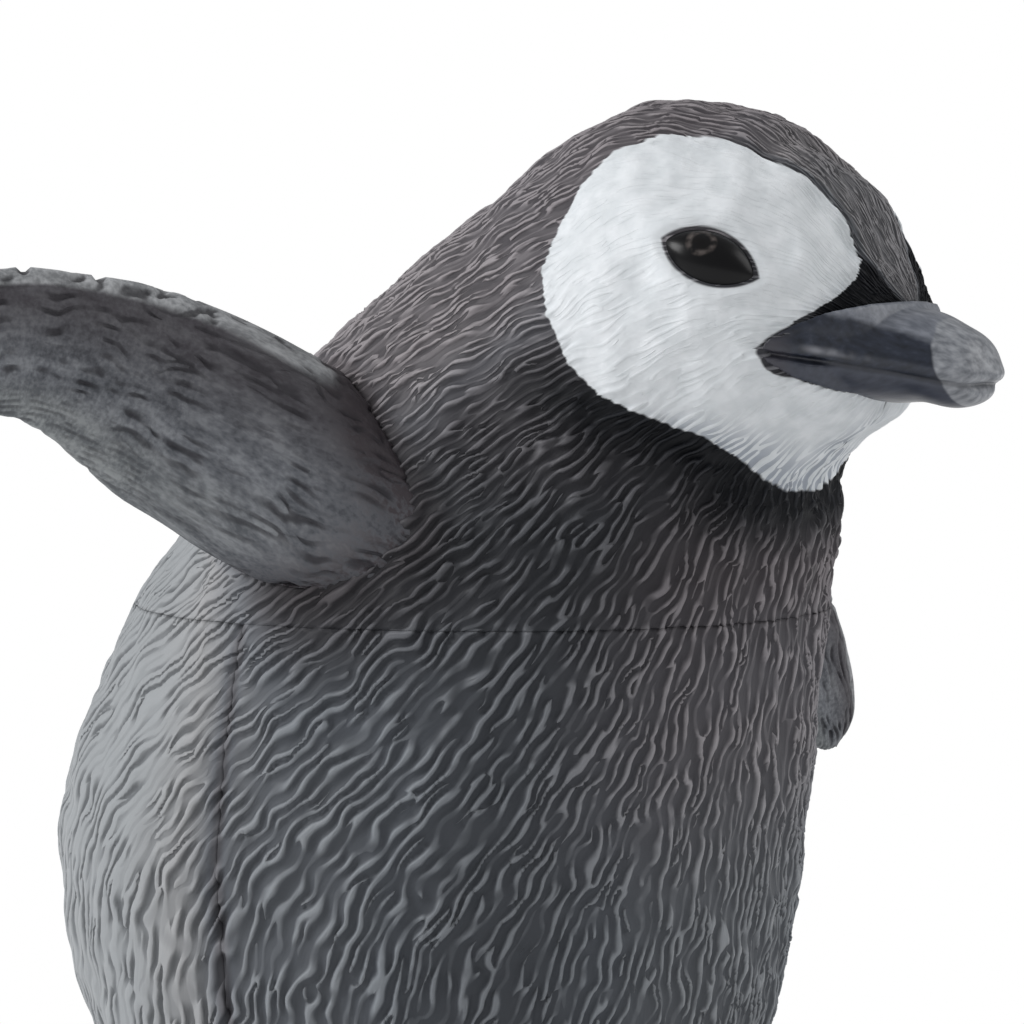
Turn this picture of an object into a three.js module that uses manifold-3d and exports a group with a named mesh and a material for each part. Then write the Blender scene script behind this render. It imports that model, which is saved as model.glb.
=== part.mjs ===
// A moulded penguin chick figurine: a hollow upper moulding glued on a two-part lower body,
// with separate flippers, feet, eyes and beak. Millimetres, +Z up. It faces -Y and its right side is -X.
import * as THREE from "three";
import { mergeVertices } from "three/addons/utils/BufferGeometryUtils.js";
import Module from "manifold-3d";

const wasm = await Module();
wasm.setup();

// Walls and fits
const WALL = 2.4;
const FACE_GAP = 0.2;
const SEAT_GAP = 0.3;

// Main sizes
const CROWN_HEIGHT = 114.2;
const CHEST_HEIGHT = 66;
const BELLY_HALF_WIDTH = 36;
const FACE_FORWARD = 53;

// Body sections, from the rump up the back and over the crown to the beak's base. Each pairs a point
// of the back line with one of the front line, as a forward distance and a height, and has a half-width.
// A taper narrows a section towards the back line, as on the brow.
const UNDERSIDE = { back: [0, 3.5], front: [0, 3.5], halfWidth: 0, taper: 0 };
const RUMP = { back: [-26, 8.5], front: [25.5, 8.5], halfWidth: 27, taper: 0 };
const HIPS = { back: [-33, 24], front: [32, 24], halfWidth: 33, taper: 0 };
const BELLY = { back: [-36.6, 45], front: [36, 45], halfWidth: BELLY_HALF_WIDTH, taper: 0 };
const CHEST = { back: [-28.4, CHEST_HEIGHT], front: [39, CHEST_HEIGHT], halfWidth: 32.3, taper: 0 };
const SHOULDERS = { back: [-19.5, 78], front: [41, 75], halfWidth: 28, taper: 0 };
const NECK = { back: [-8.5, 91.5], front: [41.7, 79], halfWidth: 23.5, taper: 0 };
const NAPE = { back: [6, 102.7], front: [44, 81.6], halfWidth: 20, taper: 0 };
const CROWN = { back: [27, CROWN_HEIGHT], front: [48.4, 84.6], halfWidth: 17.6, taper: 0.08 };
const BROW = { back: [42.7, 108.9], front: [50.6, 87.3], halfWidth: 11.3, taper: 0.15 };
const FOREHEAD = { back: [49.9, 98.8], front: [52, 89.6], halfWidth: 6.4, taper: 0.1 };
const BEAK_BASE = { back: [FACE_FORWARD, 93.5], front: [FACE_FORWARD, 93.5], halfWidth: 0, taper: 0 };
const SECTIONS = [
  UNDERSIDE, RUMP, HIPS, BELLY, CHEST, SHOULDERS, NECK, NAPE, CROWN, BROW, FOREHEAD, BEAK_BASE,
];
const HOLLOW_END = 7.6;
const ROOM = 80;
const STEPS_PER_SECTION = 3;
const SLOPE_STEP = 0.02;
const BODY_SIDES = 40;
const LINING_SIDES = 24;
const PEG_SIDES = 16;
const WELD = 1e-4;

// The level joint round the chest, with a collar of the upper moulding inside the lower shells
const JOINT_HEIGHT = CHEST_HEIGHT;
const COLLAR_DEPTH = 5;
const COLLAR_WALL = 1.6;
const COLLAR_ROOT = 3;

// Pins that line up the two lower shells
const PIN_HEIGHTS = [22, 46];
const PIN_RADIUS = 1.25;
const PIN_LENGTH = 4;
const BOSS_RADIUS = 3.2;
const BOSS_LENGTH = 6;

// Tail: sections from inside the rump to the tip, as shares of its length, width and height
const TAIL_SECTION = 1.35;
const TAIL_LENGTH = 14;
const TAIL_WIDTH = 24;
const TAIL_HEIGHT = 12;
const TAIL_SECTIONS = [
  { behind: -0.57, width: 1.08, height: 1.16 },
  { behind: 0, width: 1, height: 1 },
  { behind: 0.5, width: 0.75, height: 0.6 },
  { behind: 0.86, width: 0.5, height: 0.33 },
  { behind: 1, width: 0, height: 0 },
];
const TAIL_SIDES = 16;

// Flippers: the root is a leaning oval on the shoulder, given by body sections and angles, from which a
// fairing runs to the blade. Each blade section is a place along it and its rise above the root, as
// shares of the length, with its chord and its thickness as shares of the largest
const FLIPPER_ROOT = { section: 5.15, angle: 108 };
const ROOT_SPREAD = { section: 0.85, angle: 27, lean: 17 };
const FLIPPER_LENGTH = 49.5;
const FLIPPER_CHORD = 23.5;
const FLIPPER_THICKNESS = 22;
const FAIRING = 0.24;
const ROOT_EDGE = 0.8;
const FLIPPER_SECTIONS = [
  { along: 0, rise: 0.01, chord: 1, thickness: 1 },
  { along: 0.28, rise: 0.178, chord: 0.85, thickness: 0.34 },
  { along: 0.485, rise: 0.262, chord: 0.63, thickness: 0.24 },
  { along: 0.687, rise: 0.27, chord: 0.536, thickness: 0.19 },
  { along: 0.869, rise: 0.23, chord: 0.468, thickness: 0.155 },
  { along: 0.966, rise: 0.196, chord: 0.281, thickness: 0.11 },
  { along: 1, rise: 0.186, chord: 0, thickness: 0 },
];
const FLIPPER_SIDES = 18;
const TENON_CHORD = 12;
const TENON_THICKNESS = 4;
const TENON_INSIDE = 4;
const TENON_ROOT = 5;
const RIGHT_SWEEP = -32;
const RIGHT_DROP = 0;
const LEFT_SWEEP = 10;
const LEFT_DROP = 50;

// Feet
const ANKLE = { side: 15, forward: 16 };
const ANKLE_RADIUS = 5;
const ANKLE_PLUG = 4;
const TOE_LENGTHS = [25, 29, 25];
const TOE_SPREAD = 23;
const TOE_RADIUS = 4.3;
const TOE_TIP_RADIUS = 2.7;
const TOE_SIDES = 12;
const CLAW_LENGTH = 5;
const CLAW_RADIUS = 1.1;
const CLAW_STEP = 0.8;
const SOLE_CUT = 0.8;
const WEB_THICKNESS = 3;
const WEB_REACH = 23;
const WEB_NOTCH = 19;
const INSTEP_HALF_WIDTH = 8.5;
const INSTEP_HALF_LENGTH = 11;
const INSTEP_HEIGHT = 8.5;
const FOOT_TURN_OUT = 10;

// Eyes: almond beads on the cheeks
const EYE_PLACE = { section: 8.25, angle: 89 };
const EYE_LENGTH = 9.2;
const EYE_HEIGHT = 5.2;
const EYE_DEPTH = 4;
const EYE_SINK = 0.8;
const EYE_TILT = 11;
const EYE_STEPS = 10;

// Beak: horn sections from inside the face to the tip, as places ahead of the beak's base and above it,
// in shares of the length and the depth, with widths and heights as shares of the largest.
// A collar over the face has its mouth corners behind the base
const BEAK_LENGTH = 7.7;
const BEAK_DEPTH = 8.4;
const BEAK_WIDTH = 19.2;
const BEAK_SECTIONS = [
  { ahead: -0.9, above: -0.381, width: 1.15, height: 0.657 },
  { ahead: -0.39, above: -0.375, width: 1, height: 0.971 },
  { ahead: 0.065, above: -0.357, width: 0.73, height: 1 },
  { ahead: 0.468, above: -0.456, width: 0.54, height: 0.921 },
  { ahead: 0.805, above: -0.506, width: 0.36, height: 0.643 },
  { ahead: 1, above: -0.548, width: 0, height: 0 },
];
const GAPE_BEHIND = 8.6;
const GAPE_HALF_HEIGHT = 4.7;
const GAPE_DROP = 2.6;
const GAPE_POINT = 1.35;
const GAPE_LIP = 0.5;
const BEAK_SIDES = 20;
const BEAK_LAP = 2;
const BEAK_STEM_RADIUS = 2.6;
const BEAK_STEM_LENGTH = 12;
const MOUTH_LINE_WIDTH = 0.5;
const MOUTH_LINE_DEPTH = 0.6;
const MOUTH_LINE_DROP = 4.4;
const MOUTH_SLOPE = 12;

const VINYL_DARK = { color: 0x4a4b4e, roughness: 0.6, metalness: 0 };
const VINYL_GREY = { color: 0x6a6d70, roughness: 0.6, metalness: 0 };
const VINYL_FLIPPER = { color: 0x53575a, roughness: 0.55, metalness: 0 };
const VINYL_FOOT = { color: 0x2a2a2c, roughness: 0.55, metalness: 0 };
const GLOSS_BLACK = { color: 0x0c0c0e, roughness: 0.15, metalness: 0 };
const GLOSS_BEAK = { color: 0x23262c, roughness: 0.2, metalness: 0 };

const turn = (degrees) => THREE.MathUtils.degToRad(degrees);
const at = (side, forward, height) => new THREE.Vector3(side, -forward, height);

// A closed geometry as a solid that can be joined and cut
function solid(geometry) {
  const bare = new THREE.BufferGeometry();
  bare.setAttribute("position", geometry.getAttribute("position"));
  bare.setIndex(geometry.index);
  const merged = mergeVertices(bare, WELD);
  const index = merged.index.array;
  const triVerts = [];
  for (let i = 0; i < index.length; i += 3) {
    const [a, b, c] = index.slice(i, i + 3);
    if (a !== b && b !== c && c !== a) triVerts.push(a, b, c);
  }
  return new wasm.Manifold(
    new wasm.Mesh({
      numProp: 3,
      vertProperties: merged.getAttribute("position").array,
      triVerts: new Uint32Array(triVerts),
    }),
  );
}

function geometryOf(shape) {
  const mesh = shape.getMesh();
  const geometry = new THREE.BufferGeometry();
  geometry.setAttribute("position", new THREE.BufferAttribute(mesh.vertProperties, 3));
  geometry.setIndex(new THREE.BufferAttribute(mesh.triVerts, 1));
  geometry.computeVertexNormals();
  return geometry;
}

// A skin over equal rings of points, closed at both ends by a fan to the ring's middle
function loft(rings) {
  const sides = rings[0].length;
  const points = rings.flat();
  const middleOf = (ring) =>
    ring.reduce((sum, p) => sum.add(p), new THREE.Vector3()).divideScalar(sides);
  const first = points.push(middleOf(rings[0]), middleOf(rings.at(-1))) - 2;
  const lastRow = (rings.length - 1) * sides;
  const faces = [];
  for (let k = 0; k < sides; k++) {
    const next = (k + 1) % sides;
    for (let row = 0; row < lastRow; row += sides) {
      faces.push([row + k, row + next, row + next + sides]);
      faces.push([row + k, row + next + sides, row + k + sides]);
    }
    faces.push([first, next, k], [first + 1, lastRow + k, lastRow + next]);
  }
  const volume = faces.reduce(
    (sum, [a, b, c]) => sum + points[a].dot(points[b].clone().cross(points[c])),
    0,
  );
  if (volume < 0) faces.forEach((face) => face.reverse());
  return solid(new THREE.BufferGeometry().setFromPoints(points).setIndex(faces.flat()));
}

// A ring of points round a middle, on an ellipse with two half-axes
function ellipse(middle, sides, first, second) {
  return Array.from({ length: sides }, (_, k) => {
    const angle = (2 * Math.PI * k) / sides;
    const point = middle.clone().addScaledVector(first, Math.cos(angle));
    return point.addScaledVector(second, Math.sin(angle));
  });
}

// A box between two corners
function block(low, high) {
  const size = high.clone().sub(low);
  const middle = low.clone().add(high).divideScalar(2);
  const box = new THREE.BoxGeometry(size.x, size.y, size.z);
  return solid(box.translate(middle.x, middle.y, middle.z));
}

// A round peg between two points
function peg(from, to, radius) {
  const along = to.clone().sub(from).normalize();
  const first = new THREE.Vector3(1, 0, 0).multiplyScalar(radius);
  const second = along.clone().cross(first);
  return loft([from, to].map((end) => ellipse(end, PEG_SIDES, first, second)));
}

// Body skin
const backLine = new THREE.CatmullRomCurve3(SECTIONS.map((s) => at(0, ...s.back)));
const frontLine = new THREE.CatmullRomCurve3(SECTIONS.map((s) => at(0, ...s.front)));
const widthLine = new THREE.SplineCurve(SECTIONS.map((s) => new THREE.Vector2(s.halfWidth, s.taper)));
const LAST_SECTION = SECTIONS.length - 1;

function skinPoint(section, angle) {
  const share = section / LAST_SECTION;
  const back = backLine.getPoint(share);
  const front = frontLine.getPoint(share);
  const point = back.clone().add(front).divideScalar(2);
  point.addScaledVector(front.sub(back), Math.cos(angle) / 2);
  const { x: halfWidth, y: taper } = widthLine.getPoint(share);
  point.x += halfWidth * Math.sin(angle) * (1 + taper * Math.cos(angle));
  return point;
}

function skinNormal(section, angle) {
  const inside = THREE.MathUtils.clamp(section, 2 * SLOPE_STEP, LAST_SECTION - 2 * SLOPE_STEP);
  const up = skinPoint(inside + SLOPE_STEP, angle).sub(skinPoint(inside - SLOPE_STEP, angle));
  const round = skinPoint(inside, angle + SLOPE_STEP).sub(skinPoint(inside, angle - SLOPE_STEP));
  return round.cross(up).normalize();
}

// The body's skin from the underside to a section, moved outwards, or inwards below zero
function bodySolid(grow = 0, end = LAST_SECTION) {
  const rows = Math.round(end * STEPS_PER_SECTION);
  const sides = grow < 0 ? LINING_SIDES : BODY_SIDES;
  const angles = Array.from({ length: sides }, (_, k) => (2 * Math.PI * k) / sides);
  const rings = [];
  for (let row = 0; row <= rows; row++) {
    const section = (end * row) / rows;
    const normals = angles.map((angle) => skinNormal(section, angle));
    if (section === 0 || section === LAST_SECTION) {
      const mean = normals.reduce((sum, n) => sum.add(n), new THREE.Vector3()).normalize();
      normals.fill(mean);
    }
    rings.push(angles.map((a, k) => skinPoint(section, a).addScaledVector(normals[k], grow)));
  }
  return loft(rings);
}

const body = bodySolid();
const bodyMesh = new THREE.Mesh(geometryOf(body));
const reach = new THREE.Box3().setFromObject(bodyMesh).expandByScalar(ROOM);

// Where a line from outside first meets the body's skin
function skinHit(from, towards) {
  const ray = new THREE.Raycaster(from, towards.clone().sub(from).normalize());
  return ray.intersectObject(bodyMesh)[0];
}

// Level and upright slices of the space round the body
const slab = (low, high) =>
  block(reach.min.clone().setZ(low), reach.max.clone().setZ(high));
const ahead = (gap) => block(reach.min, reach.max.clone().setY(-gap));
const behind = (gap) => block(reach.min.clone().setY(gap), reach.max);

// Tail: a flat wedge that slopes from the rump to the ground
function tailSolid() {
  const root = skinPoint(TAIL_SECTION, Math.PI);
  const rings = TAIL_SECTIONS.map(({ behind, width, height }) => {
    const halfHeight = (height * TAIL_HEIGHT) / 2;
    return ellipse(
      new THREE.Vector3(0, root.y + behind * TAIL_LENGTH, root.z * (1 - behind) + halfHeight),
      TAIL_SIDES,
      new THREE.Vector3((width * TAIL_WIDTH) / 2, 0, 0),
      new THREE.Vector3(0, 0, halfHeight),
    );
  });
  return loft(rings);
}

// Lower shells: the skin below the chest joint, with bosses on the seam that halves it
function bossMiddles() {
  return PIN_HEIGHTS.flatMap((height) =>
    [-1, 1].map((side) => {
      const edge = skinHit(at(side * reach.max.x, 0, height), at(0, 0, height)).point;
      return at(edge.x - side * (WALL + PIN_RADIUS + SEAT_GAP), 0, height);
    }),
  );
}

function lowerHalf(facing) {
  const skin = body.add(tailSolid()).intersect(slab(0, JOINT_HEIGHT));
  const lining = bodySolid(-WALL / 2);
  let half = skin.subtract(bodySolid(-WALL));
  for (const middle of bossMiddles()) {
    const end = middle.clone().add(at(0, facing * BOSS_LENGTH, 0));
    half = half.add(peg(middle, end, BOSS_RADIUS).intersect(lining));
  }
  return half.intersect(facing > 0 ? ahead(FACE_GAP / 2) : behind(FACE_GAP / 2));
}

function seamPin(middle, grow) {
  const root = middle.clone().add(at(0, BOSS_LENGTH / 2, 0));
  const tip = middle.clone().sub(at(0, PIN_LENGTH + grow, 0));
  return peg(root, tip, PIN_RADIUS + grow);
}

function bellyShell() {
  let shell = lowerHalf(1);
  for (const middle of bossMiddles()) shell = shell.add(seamPin(middle, 0));
  for (const side of [-1, 1]) shell = shell.subtract(anklePlug(side, SEAT_GAP));
  return shell;
}

function backShell() {
  let shell = lowerHalf(-1);
  for (const middle of bossMiddles()) shell = shell.subtract(seamPin(middle, SEAT_GAP));
  return shell;
}

// Head and shoulders: hollow and open at the chest, with a collar that drops into the lower shells
function collar() {
  const seat = JOINT_HEIGHT + FACE_GAP;
  const outside = bodySolid(-WALL - SEAT_GAP).intersect(slab(JOINT_HEIGHT - COLLAR_DEPTH, seat));
  const root = bodySolid(-WALL / 2).intersect(slab(seat, seat + COLLAR_ROOT));
  return outside.add(root).subtract(bodySolid(-WALL - SEAT_GAP - COLLAR_WALL, HOLLOW_END));
}

function headAndShoulders() {
  let head = body.intersect(slab(JOINT_HEIGHT + FACE_GAP, reach.max.z));
  head = head.subtract(bodySolid(-WALL, HOLLOW_END)).add(collar());
  const beakSpace = beakBlank(SEAT_GAP).add(beakCollar(SEAT_GAP));
  const beakSeat = beakSpace.subtract(bodySolid(-BEAK_LAP - SEAT_GAP));
  head = head.subtract(beakSeat).subtract(beakStem(SEAT_GAP));
  for (const side of [-1, 1]) {
    head = head.subtract(eyeBead(side, SEAT_GAP)).subtract(flipperTenon(side, SEAT_GAP));
  }
  return head;
}

// Flippers: a blade in an upright plane, with a tenon through the shoulder wall
const flipperSpine = new THREE.SplineCurve(
  FLIPPER_SECTIONS.map((s) => new THREE.Vector2(s.along, s.rise).multiplyScalar(FLIPPER_LENGTH)),
);
const flipperGirth = new THREE.SplineCurve(
  FLIPPER_SECTIONS.map((s) => new THREE.Vector2(s.chord * FLIPPER_CHORD, s.thickness * FLIPPER_THICKNESS)),
);

function flipperFrame(side) {
  const sweep = turn(side < 0 ? RIGHT_SWEEP : LEFT_SWEEP);
  const drop = turn(side < 0 ? RIGHT_DROP : LEFT_DROP);
  const out = at(side * Math.cos(sweep), Math.sin(sweep), 0);
  const up = at(0, 0, 1);
  return {
    root: skinPoint(FLIPPER_ROOT.section, turn(side * FLIPPER_ROOT.angle)),
    along: out.clone().multiplyScalar(Math.cos(drop)).addScaledVector(up, -Math.sin(drop)),
    rise: up.clone().multiplyScalar(Math.cos(drop)).addScaledVector(out, Math.sin(drop)),
  };
}

// A ring across the blade at a place on its spine, square to the spine's slope there
function bladeRing({ root, along, rise }, place, slope, chord, thickness) {
  const middle = root.clone().addScaledVector(along, place.x).addScaledVector(rise, place.y);
  const across = rise.clone().multiplyScalar(slope.x).addScaledVector(along, -slope.y);
  const face = along.clone().cross(rise);
  return ellipse(
    middle,
    FLIPPER_SIDES,
    across.multiplyScalar(chord / 2),
    face.multiplyScalar(thickness / 2),
  );
}

// The root's outline on the shoulder, sunk by a depth
function rootRing(side, depth) {
  return Array.from({ length: FLIPPER_SIDES }, (_, k) => {
    const round = (2 * Math.PI * k) / FLIPPER_SIDES;
    const section = FLIPPER_ROOT.section + ROOT_SPREAD.section * Math.cos(round);
    const lean = FLIPPER_ROOT.angle + ROOT_SPREAD.lean * Math.cos(round);
    const angle = turn(side * lean - ROOT_SPREAD.angle * Math.sin(round));
    return skinPoint(section, angle).addScaledVector(skinNormal(section, angle), -depth);
  });
}

function flipperBlade(side) {
  const frame = flipperFrame(side);
  const base = rootRing(side, -ROOT_EDGE);
  const rows = (FLIPPER_SECTIONS.length - 1) * STEPS_PER_SECTION;
  const rings = [rootRing(side, WALL)];
  for (let row = 0; row <= rows; row++) {
    const place = flipperSpine.getPoint(row / rows);
    const girth = flipperGirth.getPoint(row / rows);
    const slope = flipperSpine.getTangent(row / rows);
    const faired = Math.min(1, place.x / (FAIRING * FLIPPER_LENGTH));
    const ring = bladeRing(frame, place, slope, girth.x, girth.y);
    rings.push(ring.map((point, k) => base[k].clone().lerp(point, faired)));
  }
  return loft(rings);
}

function flipperTenon(side, grow) {
  const frame = flipperFrame(side);
  const level = new THREE.Vector2(1, 0);
  const ends = [-TENON_INSIDE - 2 * WALL - grow, TENON_ROOT];
  const rings = ends.map((along) =>
    bladeRing(
      frame,
      new THREE.Vector2(along, 0),
      level,
      TENON_CHORD + 2 * grow,
      TENON_THICKNESS + 2 * grow,
    ),
  );
  return loft(rings);
}

function flipper(side) {
  return flipperBlade(side).subtract(bodySolid(SEAT_GAP)).add(flipperTenon(side, 0));
}

// Feet: three toes with claws, a web, and an instep whose ankle plugs into the belly
function anklePlug(side, grow) {
  const ankle = at(side * ANKLE.side, ANKLE.forward, 0);
  const skin = skinHit(ankle.clone().setZ(reach.min.z), ankle.clone().setZ(reach.max.z)).point;
  const top = ankle.clone().setZ(skin.z + WALL + ANKLE_PLUG + grow);
  return peg(ankle.clone().setZ(WEB_THICKNESS / 2), top, ANKLE_RADIUS + grow);
}

// A place on the ground, from the ankle along a heading
function footPlace(side, heading, along, across, height) {
  const angle = turn(side * FOOT_TURN_OUT) + heading;
  const forward = ANKLE.forward + along * Math.cos(angle) - across * Math.sin(angle);
  return at(side * ANKLE.side + along * Math.sin(angle) + across * Math.cos(angle), forward, height);
}

function toe(side, heading, length) {
  const stops = [
    [0, TOE_RADIUS],
    [length - 2 * TOE_TIP_RADIUS, TOE_TIP_RADIUS],
    [length, TOE_TIP_RADIUS - CLAW_STEP],
    [length + CLAW_LENGTH / 2, CLAW_RADIUS],
    [length + CLAW_LENGTH, 0],
  ];
  const rings = stops.map(([along, radius]) =>
    Array.from({ length: TOE_SIDES }, (_, k) => {
      const angle = (2 * Math.PI * k) / TOE_SIDES;
      const height = radius * Math.sin(angle) + radius - SOLE_CUT;
      return footPlace(side, heading, along, radius * Math.cos(angle), height);
    }),
  );
  return loft(rings);
}

function web(side, headings) {
  const outline = [];
  headings.forEach((heading, i) => {
    if (i > 0) outline.push(footPlace(side, (heading + headings[i - 1]) / 2, WEB_NOTCH, 0, 0));
    outline.push(footPlace(side, heading, WEB_REACH, 0, 0));
  });
  outline.push(footPlace(side, 0, -INSTEP_HALF_LENGTH / 2, 0, 0));
  const shape = new THREE.Shape(outline.map((p) => new THREE.Vector2(p.x, p.y)));
  return solid(new THREE.ExtrudeGeometry(shape, { depth: WEB_THICKNESS, bevelEnabled: false }));
}

function instep(side) {
  const dome = new THREE.SphereGeometry(1, PEG_SIDES, PEG_SIDES / 2);
  dome.scale(INSTEP_HALF_WIDTH, INSTEP_HALF_LENGTH, INSTEP_HEIGHT);
  dome.rotateZ(-turn(side * FOOT_TURN_OUT));
  return solid(dome.translate(side * ANKLE.side, -ANKLE.forward, 0));
}

function foot(side) {
  const headings = TOE_LENGTHS.map((_, i) => turn((i - 1) * TOE_SPREAD));
  let shape = web(side, headings).add(instep(side));
  TOE_LENGTHS.forEach((length, i) => {
    shape = shape.add(toe(side, headings[i], length));
  });
  return shape.intersect(slab(0, reach.max.z)).subtract(bodySolid(SEAT_GAP)).add(anklePlug(side, 0));
}

// Eyes: almond beads, sunk in the cheeks
function eyeBead(side, grow) {
  const angle = turn(side * EYE_PLACE.angle);
  const out = skinNormal(EYE_PLACE.section, angle);
  const point = skinPoint(EYE_PLACE.section, angle).addScaledVector(out, -EYE_SINK);
  const level = at(0, 1, 0).addScaledVector(out, out.y).normalize();
  const down = out.clone().cross(level).multiplyScalar(side);
  const tilt = turn(EYE_TILT);
  const long = level.multiplyScalar(Math.cos(tilt)).addScaledVector(down, Math.sin(tilt));
  const half = EYE_LENGTH / 2 + grow;
  const belly = EYE_HEIGHT / 2 + grow;
  const radius = (half * half + belly * belly) / (2 * belly);
  const span = Math.asin(half / radius);
  const profile = Array.from({ length: EYE_STEPS + 1 }, (_, k) => {
    const along = span * ((2 * k) / EYE_STEPS - 1);
    return new THREE.Vector2(radius * Math.cos(along) + belly - radius, radius * Math.sin(along));
  });
  profile[0].x = 0;
  profile[EYE_STEPS].x = 0;
  const almond = new THREE.LatheGeometry(profile, PEG_SIDES);
  almond.scale(1, 1, (EYE_DEPTH / 2 + grow) / belly);
  const turned = new THREE.Matrix4().makeBasis(long.clone().cross(out), long, out);
  turned.setPosition(point);
  return solid(almond.applyMatrix4(turned));
}

// Beak: laps round the front of the face, with a stem in the head and a line for the mouth
const beakPlace = ({ ahead, above }) =>
  at(0, FACE_FORWARD + ahead * BEAK_LENGTH, BEAK_BASE.front[1] + above * BEAK_DEPTH);
const beakMiddle = new THREE.CatmullRomCurve3(BEAK_SECTIONS.map(beakPlace));
const beakGirth = new THREE.SplineCurve(
  BEAK_SECTIONS.map((s) => new THREE.Vector2((s.width * BEAK_WIDTH) / 2, (s.height * BEAK_DEPTH) / 2)),
);

function beakBlank(grow) {
  const rows = (BEAK_SECTIONS.length - 1) * STEPS_PER_SECTION;
  const rings = [];
  for (let row = 0; row <= rows; row++) {
    const girth = beakGirth.getPoint(row / rows);
    const middle = beakMiddle.getPoint(row / rows);
    if (row === 0) middle.y += grow;
    if (row === rows) middle.y -= grow;
    const grown = row === rows ? 0 : grow;
    rings.push(
      ellipse(
        middle,
        BEAK_SIDES,
        new THREE.Vector3(girth.x + grown, 0, 0),
        new THREE.Vector3(0, 0, girth.y + grown),
      ),
    );
  }
  return loft(rings);
}

// The collar: a pointed oval of the face, seen from the side, standing proud by a lip
function beakCollar(grow) {
  const ring = (side) =>
    Array.from({ length: BEAK_SIDES }, (_, k) => {
      const angle = (2 * Math.PI * k) / BEAK_SIDES;
      const share = (value) => Math.sign(value) * Math.abs(value) ** GAPE_POINT;
      const forward = FACE_FORWARD + (GAPE_BEHIND + grow) * share(Math.cos(angle));
      const height = BEAK_BASE.front[1] - GAPE_DROP + (GAPE_HALF_HEIGHT + grow) * share(Math.sin(angle));
      return at(side, forward, height);
    });
  return loft([ring(reach.min.x), ring(reach.max.x)]).intersect(bodySolid(GAPE_LIP + grow));
}

function beakStem(grow) {
  const root = beakPlace({ ahead: 0, above: BEAK_SECTIONS[0].above });
  return peg(root, root.clone().sub(at(0, BEAK_STEM_LENGTH + grow, 0)), BEAK_STEM_RADIUS + grow);
}

function beak() {
  const mouth = at(0, FACE_FORWARD, BEAK_BASE.front[1] - MOUTH_LINE_DROP);
  const saw = new THREE.BoxGeometry(ROOM, ROOM, MOUTH_LINE_WIDTH).rotateX(turn(MOUTH_SLOPE));
  const groove = solid(saw.translate(mouth.x, mouth.y, mouth.z));
  const core = beakBlank(-MOUTH_LINE_DEPTH).add(bodySolid(GAPE_LIP - MOUTH_LINE_DEPTH));
  const horn = beakBlank(0).add(beakCollar(0)).subtract(groove.subtract(core));
  return horn.subtract(bodySolid(-BEAK_LAP)).add(beakStem(0));
}

function piece(name, shape, finish) {
  const mesh = new THREE.Mesh(geometryOf(shape), new THREE.MeshStandardMaterial(finish));
  mesh.name = name;
  return mesh;
}

const figure = new THREE.Group();
figure.add(
  piece("head_and_shoulders", headAndShoulders(), VINYL_DARK),
  piece("belly_shell", bellyShell(), VINYL_DARK),
  piece("back_shell", backShell(), VINYL_GREY),
  piece("right_flipper", flipper(-1), VINYL_FLIPPER),
  piece("left_flipper", flipper(1), VINYL_FLIPPER),
  piece("right_foot", foot(-1), VINYL_FOOT),
  piece("left_foot", foot(1), VINYL_FOOT),
  piece("right_eye", eyeBead(-1, 0), GLOSS_BLACK),
  piece("left_eye", eyeBead(1, 0), GLOSS_BLACK),
  piece("beak", beak(), GLOSS_BEAK),
);

// The origin is on the ground, in the middle of the figure's box
const box = new THREE.Box3().setFromObject(figure);
const middle = box.getCenter(new THREE.Vector3());
figure.position.set(-middle.x, -middle.y, -box.min.z);

const figurine = new THREE.Group();
figurine.add(figure);

export default figurine;
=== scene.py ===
import math

import bmesh
import bpy
import numpy as np
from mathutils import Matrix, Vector


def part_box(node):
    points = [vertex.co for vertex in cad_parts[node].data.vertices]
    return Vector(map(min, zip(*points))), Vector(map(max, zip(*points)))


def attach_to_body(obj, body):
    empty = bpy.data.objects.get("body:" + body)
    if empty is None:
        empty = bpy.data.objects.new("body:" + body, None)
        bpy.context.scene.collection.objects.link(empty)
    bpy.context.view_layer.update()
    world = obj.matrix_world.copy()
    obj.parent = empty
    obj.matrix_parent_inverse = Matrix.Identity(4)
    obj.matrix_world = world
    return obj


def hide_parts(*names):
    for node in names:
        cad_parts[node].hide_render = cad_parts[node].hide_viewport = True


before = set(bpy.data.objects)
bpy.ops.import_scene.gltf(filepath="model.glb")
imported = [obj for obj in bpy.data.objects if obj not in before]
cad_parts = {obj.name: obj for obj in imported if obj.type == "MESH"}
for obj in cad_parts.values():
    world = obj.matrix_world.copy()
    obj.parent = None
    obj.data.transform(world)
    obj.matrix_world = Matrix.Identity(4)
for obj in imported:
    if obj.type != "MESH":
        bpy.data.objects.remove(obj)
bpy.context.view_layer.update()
bpy.ops.object.select_all(action="DESELECT")

# Body sculpt: the chick is carved whole, then cut in three hollow soft-vinyl mouldings, and these
# sections give its skin. Each is a point of the back line, one of the front line, both as a forward
# distance and a height, a half-width and a taper towards the back line, from the underside up the back
# and over to the beak. Millimetres.
MM = 0.001
BODY_SECTIONS = (
    ((0, 3.5), (0, 3.5), 0, 0),
    ((-26, 8.5), (25.5, 8.5), 27, 0),
    ((-33, 24), (32, 24), 33, 0),
    ((-36.6, 45), (36, 45), 36, 0),
    ((-28.4, 66), (39, 66), 32.3, 0),
    ((-19.5, 78), (41, 75), 28, 0),
    ((-8.5, 91.5), (41.7, 79), 23.5, 0),
    ((6, 102.7), (44, 81.6), 20, 0),
    ((27, 114.2), (48.4, 84.6), 17.6, 0.08),
    ((42.7, 108.9), (50.6, 87.3), 11.3, 0.15),
    ((49.9, 98.8), (52, 89.6), 6.4, 0.1),
    ((53, 93.5), (53, 93.5), 0, 0),
)
BEAK_TIP_FORWARD = 60.7
CHEST = 4
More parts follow.
